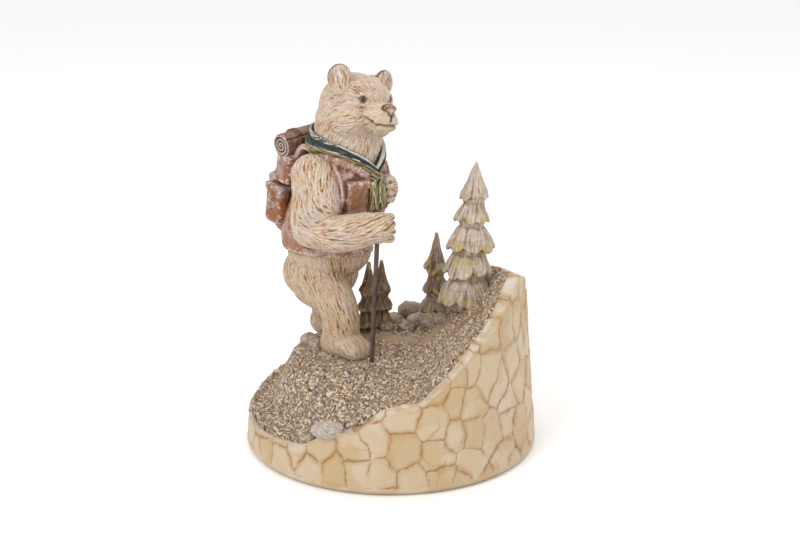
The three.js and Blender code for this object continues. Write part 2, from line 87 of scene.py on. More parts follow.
# Firs: place, height, widest radius, lean, tiers as shares of height and radius, boughs round
big_tiers = [(0.24, 0.56), (0.39, 0.64), (0.58, 0.86), (0.75, 0.89), (0.95, 1)]
small_tiers = [(0.44, 0.78), (0.66, 0.88), (0.88, 1)]
firs = {
    "fir_big": ((0.515, 0.24), 99, 20, 6, big_tiers, 8),
    "fir_small": ((0.31, 0.56), 62, 11.5, 1, small_tiers, 6),
    "fir_twin_left": ((-0.17, 0.52), 51.5, 10, 1, small_tiers, 6),
    "fir_twin_right": ((-0.08, 0.55), 51.5, 10, 1, small_tiers, 6),
}
fir_sink = 4

paint_depth = 0.74

# Mesh fineness: one voxel or one grid step; the whole figure stays under a million triangles
head_step = 0.56
arm_step = 0.62
leg_step = 0.68
nose_step = 0.32
cloth_step = 0.75
fold_step = 0.56
fir_step = 0.62
ground_step = 0.72

# Carved locks: length, width, depth
head_locks = (7.8, 1.7, 1.0)
arm_locks = (11, 2.3, 1.35)
leg_locks = (14, 2, 1.25)

camera_place = (5.738, -916.57, 395.48)
camera_pitch = 16.95
camera_lens = 67.5

# Soft boxes in metres and watts: name, place, side, power
lights = [("key", (-0.75, -1.0, 1.2), 0.6, 9), ("fill", (1.1, -0.7, 0.6), 0.9, 2),
          ("top", (0.1, 0.4, 1.3), 0.8, 3)]
sky_strength = 0.95


def smoothstep(value, low, high):
    """Eases from 0 at low to 1 at high."""
    share = np.clip((value - low) / (high - low), 0, 1)
    return share * share * (3 - 2 * share)


def outline_at(outline, value):
    """The value of a listed outline, straight between its points."""
    places, values = zip(*outline)
    return np.interp(value, places, values)


def ground_height(x, y):
    """The height of the ground above the underside."""
    east = x / base_radius
    north = y / base_radius
    slope = outline_at(slope_outline, east)
    away = np.hypot((east - terrace["x"]) / terrace["across"], (north - terrace["y"]) / terrace["along"])
    level = 1 - smoothstep(away, 1, terrace["fade"])
    return hill_height * (slope + (np.maximum(terrace["height"], slope) - slope) * level)


def rim_height(x, y):
    """The height of the rim above the underside at the bearing of a place."""
    return hill_height * outline_at(rim_outline, np.degrees(np.arctan2(y, x)))


def surface_height(x, y):
    """The height of the gravel, which eases from the ground to the rim near the edge."""
    near = smoothstep(np.hypot(x, y), gravel_radius * 0.78, gravel_radius * 1.08)
    ground = ground_height(x, y)
    return ground + (rim_height(x, y) + gravel_step - ground) * near


def turn_about(axis, degrees):
    """A turn by degrees about an axis."""
    return Matrix.Rotation(math.radians(degrees), 4, axis)


bear_x, bear_y = (share * base_radius for share in bear_place)
BEAR = (Matrix.Translation((bear_x, bear_y, float(surface_height(bear_x, bear_y)) - sole_sink))
        @ turn_about("Z", bear_yaw))
HEAD = (BEAR @ Matrix.Translation(nape_place) @ turn_about("Z", head_turn) @ turn_about("X", head_roll)
        @ Matrix.Translation(-Vector(nape_place)))


# Meshes: a form is points and faces, and masses are a list of placed forms

def taken(bm):
    """The points and faces of a bmesh, which is then freed."""
    bm.verts.index_update()
    points = np.array([vert.co[:] for vert in bm.verts])
    faces = [[vert.index for vert in face.verts] for face in bm.faces]
    bm.free()
    return points, faces


def unit_ball(around, rows):
    """A ball of radius one."""
    bm = bmesh.new()
    bmesh.ops.create_uvsphere(bm, u_segments=around, v_segments=rows, radius=1)
    return taken(bm)


def rounded_block(half, rounding):
    """A box with its half sizes along X, Y and Z and rounded edges."""
    bm = bmesh.new()
    bmesh.ops.create_cube(bm, size=2, matrix=Matrix.Diagonal((*half, 1)))
    bmesh.ops.bevel(bm, geom=bm.edges[:], offset=rounding, segments=4, profile=0.5, affect="EDGES",
                    material=-1)
    return taken(bm)


def drum(radius, length):
    """A closed cylinder along Z."""
    bm = bmesh.new()
    bmesh.ops.create_cone(bm, cap_ends=True, segments=64, radius1=radius, radius2=radius, depth=length)
    return taken(bm)


BALL = unit_ball(24, 14)


def place(masses, form, matrix):
    """Adds a copy of a form, moved by a matrix."""
    points, faces = form
    turn = np.array(matrix)
    masses.append((points @ turn[:3, :3].T + turn[:3, 3], faces))


def egg(masses, centre, half, placed, turn=STILL):
    """An egg with its half sizes along its own X, Y and Z."""
    place(masses, BALL, placed @ Matrix.Translation(centre) @ turn @ Matrix.Diagonal((*half, 1)))


def block(masses, centre, half, placed, rounding, turn=STILL):
    """A rounded box with its half sizes along its own X, Y and Z."""
    place(masses, rounded_block(half, rounding), placed @ Matrix.Translation(centre) @ turn)


def smooth_line(rows, steps):
    """Rows on a smooth line through the given rows, steps to each stretch."""
    rows = np.array(rows, float)
    padded = np.vstack([2 * rows[0] - rows[1], rows, 2 * rows[-1] - rows[-2]])
    line = []
    for k in range(len(rows) - 1):
        a, b, c, d = padded[k:k + 4]
        for share in np.arange(steps) / steps:
            cube = (3 * b - a - 3 * c + d) * share ** 3
            line.append((2 * b + (c - a) * share + (2 * a - 5 * b + 4 * c - d) * share ** 2 + cube) / 2)
    line.append(rows[-1])
    return np.array(line)


def frame_on(tangent, across):
    """A turn whose Z follows a tangent and whose X lies as near as it can to across."""
    axis = Vector(tangent).normalized()
    wide = (Vector(across) - axis * axis.dot(Vector(across))).normalized()
    return Matrix((wide, axis.cross(wide), axis)).transposed().to_4x4()


def limb(masses, stations, placed, across=(0, 1, 0), steps=7):
    """A rounded body through stations (x, y, z, half side, half thickness)."""
    line = smooth_line(stations, steps)
    for (x, y, z, side, thick), tangent in zip(line, np.gradient(line[:, :3], axis=0)):
        egg(masses, (x, y, z), (side, thick, min(side, thick)), placed, frame_on(tangent, across))


def strap(masses, points, width, thickness, placed, across=(0, 1, 0), steps=9):
    """A flat strip of webbing along points, as short rounded blocks that overlap."""
    line = smooth_line(points, steps)
    gap = np.linalg.norm(np.diff(line, axis=0), axis=1).mean()
    link = rounded_block((width / 2, thickness / 2, gap * 0.9), thickness * 0.3)
    for point, tangent in zip(line, np.gradient(line, axis=0)):
        place(masses, link, placed @ Matrix.Translation(point) @ frame_on(tangent, across))


def built(name, masses):
    """A new object that holds placed forms."""
    points = np.concatenate([rows for rows, _ in masses])
    starts = np.cumsum([0] + [len(rows) for rows, _ in masses])
    faces = [[start + corner for corner in face] for start, (_, some) in zip(starts.tolist(), masses)
             for face in some]
    mesh = bpy.data.meshes.new(name)
    mesh.from_pydata(points.tolist(), [], faces)
    piece = bpy.data.objects.new(name, mesh)
    bpy.context.scene.collection.objects.link(piece)
    return piece


def fused(name, masses, step, rounds):
    """Joins overlapping masses into one even skin and softens it, as clay is."""
    piece = built(name, masses)
    fuse = piece.modifiers.new("fuse", "REMESH")
    fuse.mode = "VOXEL"
    fuse.voxel_size = step
    soften = piece.modifiers.new("soften", "SMOOTH")
    soften.factor = 0.5
    soften.iterations = rounds
    ready = piece.evaluated_get(bpy.context.evaluated_depsgraph_get())
    mesh = bpy.data.meshes.new_from_object(ready)
    piece.modifiers.clear()
    piece.data = mesh
    return piece


def points_of(mesh):
    """The points of a mesh as rows."""
    rows = np.empty(len(mesh.vertices) * 3, np.float32)
    mesh.vertices.foreach_get("co", rows)
    return rows.reshape(-1, 3).astype(float)


def normals_of(mesh):
    """The outward directions of a mesh's points as rows."""
    rows = np.empty(len(mesh.vertices) * 3, np.float32)
    mesh.vertex_normals.foreach_get("vector", rows)
    return rows.reshape(-1, 3).astype(float)


def put(mesh, rows):
    """Moves a mesh's points to rows."""
    mesh.vertices.foreach_set("co", np.ascontiguousarray(rows, np.float32).ravel())
    mesh.update()


def placed_back(points, placed):
    """Points in the frame that a piece was modelled in."""
    back = np.array(placed.inverted())
    return points @ back[:3, :3].T + back[:3, 3]


def turned(directions, placed):
    """Directions of a modelling frame in the object's frame."""
    return directions @ np.array(placed)[:3, :3].T


def unit(rows):
    """Rows at length one."""
    return rows / np.maximum(np.linalg.norm(rows, axis=1, keepdims=True), 1e-9)


def push(mesh, lift):
    """Moves each point out along its normal, or in where lift is below zero."""
    put(mesh, points_of(mesh) + normals_of(mesh) * np.asarray(lift)[:, None])


def mark(mesh, name, values):
    """Stores one number a point for the paint to read."""
    layer = mesh.attributes.new(name, "FLOAT", "POINT")
    layer.data.foreach_set("value", np.asarray(values, np.float32))


def mark_strand(mesh, across, along, which):
    """Stores each point's place across and along a strand in mm, and which strand it is on."""
    layer = mesh.attributes.new("strand", "FLOAT_VECTOR", "POINT")
    layer.data.foreach_set("vector", np.stack([across, along, which], axis=1).astype(np.float32).ravel())


def raised(mesh, rounds=2):
    """How far each point stands out of its surroundings, in mm."""
    ends = np.empty(len(mesh.edges) * 2, np.int32)
    mesh.edges.foreach_get("vertices", ends)
    a, b = ends.reshape(-1, 2).T
    points = points_of(mesh)
    count = np.bincount(np.r_[a, b], minlength=len(points)).astype(float)[:, None]
    around = points
    for _ in range(rounds):
        total = np.stack([
            np.bincount(a, around[b, k], len(points)) + np.bincount(b, around[a, k], len(points))
            for k in range(3)
        ], axis=1)
        around = total / np.maximum(count, 1)
    return ((points - around) * normals_of(mesh)).sum(axis=1)


def cells(points, size, seed):
    """Voronoi cells: the gap to the border and to the middle in cell sizes, and three own numbers."""
    scaled = points / np.asarray(size) + seed * 7.3
    border = np.empty(len(points))
    middle = np.empty(len(points))
    own = np.empty((len(points), 3))
    for k, point in enumerate(scaled.tolist()):
        gaps, centres = noise.voronoi(point, distance_metric="DISTANCE", exponent=2.5)
        border[k] = gaps[1] - gaps[0]
        middle[k] = gaps[0]
        own[k] = centres[0]
    spread = np.sin(own @ np.array([[12.99, 39.35, 73.16], [78.23, 11.14, 52.24], [37.72, 83.16, 9.15]]))
    return border, middle, (spread * 43758.5453) % 1.0


def rough(points, size, seed=0, depth=2):
    """Soft noise from about -1 to 1 at a given size."""
    scaled = points / size + seed * 5.1
    return np.array([noise.fractal(point, 0.9, 2.0, depth) for point in scaled.tolist()])


def finish(piece, material):
    """Turns a piece to metres, paints it and hands it to the frame."""
    piece.data.transform(Matrix.Scale(MM, 4))
    piece.data.materials.clear()
    piece.data.materials.append(material)
    piece.data.polygons.foreach_set("use_smooth", [True] * len(piece.data.polygons))
    piece.data.update()
    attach(piece, "root")
    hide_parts(CAST)


# Fur

def spaced(points, normals, flow, along_gap, side_gap, rng):
    """Points picked at random, none nearer another than the gaps along and across the flow."""
    side = np.cross(normals, flow)
    held = np.empty((len(points), 3))
    picks = []
    for k in rng.permutation(len(points))[:24000]:
        offset = held[:len(picks)] - points[k]
        apart = ((offset @ flow[k] / along_gap) ** 2 + (offset @ side[k] / side_gap) ** 2
                 + (offset @ normals[k] / 3) ** 2)
        if not picks or apart.min() > 1:
            held[len(picks)] = points[k]
            picks.append(k)
    return np.array(picks)


def carve_fur(mesh, flow, locks, seed, fade=1):
    """Cuts pointed leaf locks along a flow; each tip lies on the next lock's root as shingles do."""
    length, width, depth = locks
    rng = np.random.default_rng(seed)
    points = points_of(mesh)
    normals = normals_of(mesh)
    flow = unit(flow - normals * (flow * normals).sum(axis=1, keepdims=True))
    picks = spaced(points, normals, flow, length * 0.38, width * 0.7, rng)
    count = len(picks)
    middles, up = points[picks], normals[picks]
    sway = rng.normal(0, 0.11, count)[:, None]
    ahead = unit(flow[picks] + np.cross(up, flow[picks]) * sway)
    side = np.cross(up, ahead)
    half_length = length / 2 * rng.uniform(0.8, 1.25, count)
    half_width = width / 2 * rng.uniform(0.85, 1.2, count)
    tree = kdtree.KDTree(count)
    for k, middle in enumerate(middles):
        tree.insert(middle, k)
    tree.balance()
    near = np.array([[hit[1] for hit in tree.find_n(point, 20)] for point in points.tolist()])
    offset = points[:, None] - middles[near]
    u = (offset * ahead[near]).sum(axis=2) / half_length[near]
    v = (offset * side[near]).sum(axis=2) / half_width[near]
    off = np.abs((offset * up[near]).sum(axis=2))
    taper = np.sqrt(np.clip(1 - u * u, 0, 1)) * (1 - 0.3 * u)
    body = 1 - (v / np.maximum(taper, 1e-3)) ** 2
    held = (np.abs(u) < 1) & (body > 0) & (off < 2.5)
    high = np.where(held, 0.6 * body + 0.25 * (u + 1), 0)
    best = high.argmax(axis=1)
    rows = np.arange(len(points))
    owner = near[rows, best]
    crown = np.where(held[rows, best], body[rows, best], 0)
    toward_tip = np.clip(u[rows, best], -1, 1)
    push(mesh, depth * (high[rows, best] - 0.75) * fade)
    mark(mesh, "groove", 1 - smoothstep(crown, 0.02, 0.5))
    mark(mesh, "lock", rng.random(count)[owner])
    mark(mesh, "ridge", smoothstep(crown, 0.4, 0.95) * (0.6 + 0.4 * toward_tip))
    mark_strand(mesh, v[rows, best] * half_width[owner], u[rows, best] * half_length[owner], owner % 997)


def bone_flow(points, bones):
    """The direction of the nearest bones at each point; a bone is a start and an end."""
    flow = np.zeros_like(points)
    for start, end in bones:
        start, end = np.array(start, float), np.array(end, float)
        way = end - start
        share = np.clip(((points - start) @ way) / (way @ way), 0, 1)
        gap = np.linalg.norm(points - (start + share[:, None] * way), axis=1)
        flow += (way / np.linalg.norm(way)) / (gap[:, None] ** 2 + 4) ** 2
    return unit(flow)


# Each ear: its middle and how far it is turned; each eye; how high the lips part at a depth
ears = [((ear_place[0], -ear_place[1], ear_place[2]), near_ear_turn),
        ((ear_place[0], ear_place[1], ear_place[2] - far_ear_drop), far_ear_turn)]
eyes = [(37.6, -11.9, 167), (38.2, 9.4, 168)]
eye_gazes = [(0.84, -0.54, 0.02), (0.92, -0.2, 0.02)]
eye_radius = 2.15
lip_line = [(38, 157.5), (43, 155.4), (47.5, 152.8), (51, 153.3), (54, 153)]


def head_masses():
    """The skull, brow, muzzle, chin, cheeks, lips, ears and neck."""
    masses = []
    egg(masses, (17.3, 0, 160), (21.8, 22, 22), HEAD)
    egg(masses, (27, 0, 166), (15.5, 18.6, 13.5), HEAD)
    limb(masses, [(28, 0, 158, 14, 13), (38, 0, 157.5, 11, 10.5), (45, 0, 157.5, 8.5, 8)], HEAD)
    egg(masses, (41, 0, 150.5), (8.5, 6.5, 4.5), HEAD)
    limb(masses, [(9, 0, 116, 22, 22), (13, 0, 130, 22.5, 22.5), (14, 0, 150, 21.5, 20.5)], BEAR)
    for side in (-1, 1):
        egg(masses, (25, side * 11, 155), (15, 13, 13.5), HEAD)
        egg(masses, (47.5, side * 3.6, 155), (6.3, 5, 6), HEAD)
        egg(masses, (19, side * 15.5, 172.8), (6.5, 8, 6.5), HEAD)
        egg(masses, (23.2, side * 17, 171.4), (5.2, 6.6, 4.6), HEAD)
    egg(masses, (20, 11, 174), (8, 7.5, 7.4), HEAD)
    for middle, turn in ears:
        egg(masses, middle, (4, 7.9, 8.6), HEAD, turn_about("Z", turn))
    return masses


def make_head(material):
    """The head and neck: fused masses, hollowed ears, eye sockets, mouth and fine fur."""
    piece = fused("bear_head_and_neck", head_masses(), head_step, 6)
    mesh = piece.data
    local = placed_back(points_of(mesh), HEAD)
    x, y, z = local.T
    lift, inner, rim, on_ear = (np.zeros(len(local)) for _ in range(4))
    for middle, degrees in ears:
        turn = math.radians(degrees)
        dx, dy, dz = (local - np.array(middle)).T
        front = dx * math.cos(turn) + dy * math.sin(turn)
        across = -dx * math.sin(turn) + dy * math.cos(turn)
        bowl = np.hypot(across / 6.6, (dz + 0.6) / 7.4)
        near_ear = (np.abs(across) < 9) * (np.abs(dz) < 10) * (np.abs(front) < 6)
        inside = (1 - smoothstep(bowl, 0.72, 1.0)) * (front > 0.4) * near_ear * smoothstep(dz, -7, -1)
        lift -= 1.8 * inside
        inner = np.maximum(inner, inside)
        edge = np.exp(-((front - 0.9) / 1.5) ** 2) * smoothstep(np.hypot(across / 7.9, dz / 8.6), 0.88, 0.97)
        rim = np.maximum(rim, edge * smoothstep(dz, -2, 3) * near_ear)
        on_ear = np.maximum(on_ear, smoothstep(dz, -8, -4) * near_ear)
    for eye in eyes:
        gap = np.linalg.norm(local - np.array(eye) - np.array([0.6, 0, 0]), axis=1)
        lift += 0.8 * np.exp(-((gap - 3.3) / 0.8) ** 2) - 1.3 * (1 - smoothstep(gap, 1.6, 2.9))
    mouth = np.exp(-((z - outline_at(lip_line, x)) / 0.8) ** 2) * smoothstep(x, 38, 42)
    cleft = np.exp(-(y / 0.8) ** 2) * (x > 47) * (z < 160) * (z > 155.5)
    in_bear = placed_back(points_of(mesh), BEAR)
    middle, half = drape(round_neck(in_bear[:, 0], in_bear[:, 1]))
    covered = 1 - smoothstep(in_bear[:, 2] - middle[:, 2] + half, -3, 0)
    push(mesh, lift - 1.7 * mouth - 1.1 * cleft - 3.5 * covered)
    away = local - np.array([50.0, 0, 161])
    reach = np.linalg.norm(away, axis=1)
    down = np.array([-0.1, 0, -1.0])
    facing = unit(away * np.array([1, 1.3, 0.75]))
    drop = (np.clip((158 - z) / 26, 0, 1) + smoothstep(reach, 26, 60))[:, None]
    way = facing * (1.25 - np.clip(drop, 0, 1.15)) + down * drop
    way += (np.array([0, 0, 1.0]) - way) * on_ear[:, None]
    fade = (0.35 + 0.65 * smoothstep(reach, 6, 17)) * (1 - 0.5 * on_ear)
    carve_fur(mesh, turned(way, HEAD), head_locks, 3, fade)
    mark(mesh, "inner_ear", inner)
    mark(mesh, "ear_rim", rim)
    mark(mesh, "muzzle", 1 - smoothstep(reach, 9, 22))
    mark(mesh, "line", np.maximum(mouth, cleft))
    return finish(piece, material)


def make_nose(material):
    """The wide flat nose with two nostrils and a short philtrum."""
    masses = []
    egg(masses, (49.4, 0, 163.7), (3.4, 5.8, 2.9), HEAD)
    egg(masses, (50.3, 0, 160.8), (3.2, 4.2, 3), HEAD)
    egg(masses, (51.2, 0, 157.3), (1.7, 1.3, 3), HEAD)
    piece = fused("bear_nose", masses, nose_step, 4)
    mesh = piece.data
    x, y, z = placed_back(points_of(mesh), HEAD).T
    nostril = np.hypot((np.abs(y) - 3) / 1.4, z - 161.2)
    pit = (1 - smoothstep(nostril, 0.5, 1.1)) * (x > 50)
    cleft = np.exp(-(y / 0.5) ** 2) * (z < 162) * (x > 51)
    push(mesh, -0.9 * pit - 0.6 * cleft)
    upper = smoothstep(np.hypot(y / 5.8, (z - 163.7) / 2.9), 0.8, 0.97) * (z > 161)
    outline = np.maximum(1 - smoothstep(z, 159, 161), upper)
    mark(mesh, "dark", np.maximum(np.maximum(pit, cleft), 0.8 * outline))
    # Painted highlight: a whitish spot on the nose's upper middle, kept off the cleft.
    mark(mesh, "painted_highlight", np.exp(-((z - 162.4) / 1.5) ** 2 - ((y + 0.6) / 1.5) ** 2) * (1 - cleft))
    return finish(piece, material)


def make_eyes(material):
    """Two small domed eyes with a painted iris and pupil."""
    masses = []
    for eye in eyes:
        place(masses, unit_ball(32, 20), HEAD @ Matrix.Translation(eye) @ Matrix.Scale(eye_radius, 4))
    piece = built("bear_eyes", masses)
    local = placed_back(points_of(piece.data), HEAD)
    near = local[:, 1:2] < 0
    out = local - np.where(near, *np.array(eyes))
    facing = (out * np.where(near, *unit(np.array(eye_gazes)))).sum(axis=1) / eye_radius
    mark(piece.data, "pupil", smoothstep(facing, 0.86, 0.94))
    mark(piece.data, "iris", smoothstep(facing, 0.62, 0.74))
    mark(piece.data, "lid", smoothstep(out[:, 2], 0.5, 1.2))
    return finish(piece, material)


arm_bones = [
    ((3, -22, 124), (9, -31, 118)), ((9, -27, 119), (15, -31, 100)), ((15, -31, 104), (12, -33, 86)),
    ((8, -33, 84), (29, -31, 85)), ((29, -31, 85), (42, -24, 88)), ((42, -24, 88), (54, -9, 90)),
    ((-3, 22, 117), (-8, 29, 92)), ((-9, 30, 89), (8, 28, 96)), ((8, 28, 96), (34, 14, 108)),
]


def make_arms(material):
    """Both arms with their paws: the near one holds the rod, the far one rests at the chest."""
    masses = []
    upright = (0, 0, 1)
    limb(masses, [(9.5, -26, 119, 14, 14.5), (17.5, -31, 105, 14.5, 16), (15.5, -33, 92, 12.8, 14.8),
                  (14.5, -33, 87, 11.6, 12)], BEAR)
    limb(masses, [(14, -33, 86.5, 11.5, 11.5), (29.5, -30, 86, 11.6, 11.5), (41.5, -24, 88, 11.4, 10.5),
                  (48, -16, 90, 10.5, 9.5)], BEAR, upright)
    egg(masses, (52.5, -10, 90.5), (8.5, 8.5, 10), BEAR)
    limb(masses, [(-5, 20, 115, 11, 12), (-8, 26, 103, 12, 12.5), (-9, 30, 90, 11.5, 12.5)], BEAR)
    limb(masses, [(-9, 30, 89, 11.5, 11.5), (8, 28, 96, 10.5, 10), (24.4, 19.4, 104, 9.5, 9)], BEAR, upright)
    egg(masses, (34.3, 13.8, 108.5), (8, 7.5, 9), BEAR)
    for finger in range(4):
        step = finger - 1.5
        egg(masses, (57.5 - abs(step), -5.5, 90 + 4.6 * step), (3.5, 4.4, 2.6), BEAR)
        egg(masses, (39.6 - abs(step), 12.3, 108.5 + 4.4 * step), (3.5, 5.1, 2.5), BEAR)
    piece = fused("bear_arms", masses, arm_step, 4)
    mesh = piece.data
    local = placed_back(points_of(mesh), BEAR)
    near = local[:, 1] < 0
    flow = bone_flow(local, arm_bones)
    herring = np.zeros_like(local)
    herring[:, 2] = np.where(near & (local[:, 0] > 18), np.clip((local[:, 2] - 89) / 14, -0.55, 0.35), 0)
    carve_fur(mesh, turned(unit(flow + herring), BEAR), arm_locks, 11)
    return finish(piece, material)


leg_bones = [
    ((-30, 0, 58), (-34, 0, 44)), ((-20, -16, 58), (-14, -18, 46)), ((-6, -16, 50), (10, -14, 38)),
    ((0, -20, 60), (4, -18, 44)), ((12, -13, 38), (18, -12, 22)), ((18, -12, 24), (18, -12, 8)),
    ((14, 0, 62), (12, 0, 44)), ((20, -12, 10), (38, -12, 4)), ((-16, 14, 46), (-19, 13, 30)),
    ((-19, 13, 32), (-20, 13, 8)), ((-18, 13, 10), (0, 13, 4)), ((-20, 18, 60), (-18, 18, 44)),
]


def make_legs(material):
    """The belly, seat, legs and feet in long carved strands."""
    masses = []
    egg(masses, (-14, 0, 46), (25.5, 25, 20), BEAR)
    egg(masses, (-5, 0, 62), (27.5, 27.5, 18), BEAR)
    limb(masses, [(-4, -14, 44, 15, 17), (12, -13, 36, 13, 14), (18, -12, 24, 12, 12.5),
                  (18, -12, 8, 12, 12.5)], BEAR)
    limb(masses, [(-16, 14, 44, 15, 17), (-19, 13, 32, 13, 13), (-20, 13, 22, 12, 12),
                  (-20, 13, 8, 12, 12)], BEAR)
    limb(masses, [(14, -12, 6.5, 11.5, 10), (26, -12, 6.5, 11.5, 8.5), (35, -12, 4.5, 10.5, 6)], BEAR)
    limb(masses, [(-24, 13, 6.5, 11.5, 10), (-12, 13, 6.5, 11.5, 8.5), (-3, 13, 4.5, 10.5, 6)], BEAR)
    piece = fused("bear_legs", masses, leg_step, 4)
    mesh = piece.data
    local = placed_back(points_of(mesh), BEAR)
    carve_fur(mesh, turned(bone_flow(local, leg_bones), BEAR), leg_locks, 23)
    return finish(piece, material)


# Clothes and pack

armhole = [(3, 17, 131.5), (10, 18.6, 132), (18, 20.6, 129.6), (25, 21.2, 124.6), (29.4, 21, 116),
           (30.4, 21.4, 106), (28.6, 22, 97)]


def chest_front(side, height):
    """The front of the torso at a distance from its middle and a height above the soles."""
    middle, wide, deep = (outline_at([(row[1], row[k]) for row in torso], height) for k in (0, 2, 3))
    return float(middle + deep * math.sqrt(1 - (side / wide) ** 2))


def hem_height(turn):
    """The height of the vest's hem, which rides up at the near side and the back."""
    return 64 + 2.3 * (1 + np.cos(turn + 1.83))


def weathered(piece, chip, chip_depth, seed, grain=1.6):
    """Light chisel flats and grain, and marks for the wash and the dry brush."""
    mesh = piece.data
    points = points_of(mesh)
    border, _, own = cells(points, chip, seed)
    flat = chip_depth * (smoothstep(border, 0, 0.25) - 1) + chip_depth * 0.8 * (own[:, 0] - 0.5)
    push(mesh, flat + 0.1 * rough(points, grain, seed))
    bump = raised(mesh, 11)
    mark(mesh, "ridge", smoothstep(bump, 0.06, 0.34))
    mark(mesh, "groove", smoothstep(-bump, 0.05, 0.4))
    mark(mesh, "lock", own[:, 1])


def make_vest(material):
    """The sleeveless vest: body, hem band, armhole trim, front edges, pockets, straps and tab."""
    masses = []
    limb(masses, [(x, 0, z, wide, deep) for x, z, wide, deep in torso], BEAR)
    hem = [(-6.5 + 28.6 * math.cos(a), 28.6 * math.sin(a), hem_height(a))
           for a in np.linspace(0, 2 * math.pi, 41)]
    strap(masses, hem, 5, 3, BEAR, (0, 0, 1), 2)
    for (x, y, z), half in zip(*drape(np.linspace(-2.4, 2.4, 49))):
        egg(masses, (14 + (x - 14) * 0.8, y * 0.8, z - half - 2.5), (5, 5, 5), BEAR)
    for side in (-1, 1):
        front = [(chest_front(18, z) + 0.6, side * 18, z) for z in (120, 108, 96, 84)]
        strap(masses, [(-18, side * 17, 122), (-6, side * 18, 134), (11, side * 18, 129), *front], 7.5, 4,
              BEAR, (0, 1, 0.2 * side))
        egg(masses, (15.5, side * 11, 118.5), (17, 15, 12), BEAR)
        for inward in (0, 3.4):
            trim = [(x, side * (across - inward), z + 0.25 * inward) for x, across, z in armhole]
            strap(masses, trim, 2, 2.6, BEAR, (0, 1, 0), 5)
        edge = [(chest_front(2.2, z) + 0.5, side * 2.2, z) for z in (118, 104, 90, 76)]
        strap(masses, edge, 2.6, 2.4, BEAR, (0, 1, 0), 6)
        tilt = turn_about("Z", side * 16) @ turn_about("Y", 9)
        block(masses, (chest_front(10.5, 104) - 0.6, side * 10.5, 104), (3, 7.4, 11), BEAR, 1.8, tilt)
        block(masses, (chest_front(10.5, 114.5) + 0.6, side * 10.5, 114.5), (2.7, 8, 3), BEAR, 1.2, tilt)
        block(masses, (29.5, side * 13.4, 123), (1.7, 2, 3.6), BEAR, 0.8, tilt @ turn_about("Y", -30))
    piece = fused("vest", masses, cloth_step, 2)
    x, y, z = placed_back(points_of(piece.data), BEAR).T
    push(piece.data, -4.5 * smoothstep(hem_height(np.arctan2(y, x + 6.5)) - 2.2 - z, 0, 1.5))
    weathered(piece, (4.2, 4.2, 5.5), 0.22, 5)
    return finish(piece, material)


def make_backpack(material):
    """The canvas pack: bag, flap, back pocket, side pouches with lids, and closing straps."""
    masses = []
    lean = turn_about("Y", 9)
    limb(masses, [(-33, 0, 80, 21.4, 11.6), (-30.6, 0, 102, 21.8, 13.4), (-26.2, 0, 130, 20.8, 12)], BEAR)
    block(masses, (-42.2, 0, 94), (5, 14.6, 14.5), BEAR, 4, lean)
    block(masses, (-42.6, 0, 106.5), (5.4, 15.4, 3.4), BEAR, 2, lean)
    block(masses, (-30.6, 0, 121), (7, 17.6, 10.5), BEAR, 5, lean)
    for side in (-1, 1):
        block(masses, (-30.3, side * 22.3, 93), (8, 5.2, 13.4), BEAR, 4.4, lean)
        block(masses, (-28.8, side * 22.8, 104.8), (8.2, 5.2, 2.6), BEAR, 1.6, lean)
        block(masses, (-20.8, side * 21.1, 119.3), (7.7, 5.2, 9.6), BEAR, 4.2, lean)
        block(masses, (-22.6, side * 21.5, 111.4), (7.8, 5.2, 2.2), BEAR, 1.4, lean)
        buckle = [(-31 - 2.6 * share, side * 27.4, 103 - 17 * share) for share in (0, 0.33, 0.66, 1)]
        strap(masses, buckle, 2.8, 1.8, BEAR, (1, 0, 0), 4)
        back = [(-38, side * 9, 129), (-41.5, side * 9, 118), (-47, side * 9, 107), (-48.4, side * 9, 95),
                (-47.6, side * 9, 83)]
        strap(masses, back, 3, 2, BEAR, (0, 1, 0), 6)
    piece = fused("backpack", masses, cloth_step, 3)
    weathered(piece, (5.5, 5.5, 6.5), 0.25, 9)
    return finish(piece, material)


def roll_frame():
    """The bedroll's own frame, with Z along it."""
    return BEAR @ Matrix.Translation(roll_place) @ turn_about("X", roll_tilt) @ turn_about("X", -90)


def make_bedroll(material):
    """The rolled blanket: a spiral at both ends, a lengthwise fold and two strap bands."""
    masses = []
    placed = roll_frame()
    place(masses, drum(roll_radius, roll_length), placed)
    for side in (-1, 1):
        place(masses, drum(roll_strap_radius, 4), placed @ Matrix.Translation((0, 0, side * 15)))
    piece = fused("bedroll", masses, fold_step, 3)
    mesh = piece.data
    x, y, z = placed_back(points_of(mesh), placed).T
    radius = np.hypot(x, y)
    turn = np.arctan2(y, x)
    end = smoothstep(np.abs(z), roll_length / 2 - 1.2, roll_length / 2 - 0.4)
    layers = np.cos(2 * math.pi * (radius / 2.35 - turn / (2 * math.pi)))
    fold = np.exp(-((turn + 0.6) / 0.09) ** 2) * (1 - end)
    push(mesh, end * (0.55 * layers - 0.2) * smoothstep(radius, 0.3, 1.2) - 0.7 * fold)
    weathered(piece, (3.5, 3.5, 5), 0.16, 13)
    mark(mesh, "spiral", end * smoothstep(layers, -0.2, 0.7))
    mark(mesh, "band", smoothstep(radius, roll_radius + 0.3, roll_radius + 0.8))
    return finish(piece, material)


def round_neck(x, y):
    """The turn round the neck from the neckerchief's knot."""
    return np.arctan2(y / 22, (x - 14) / 25)


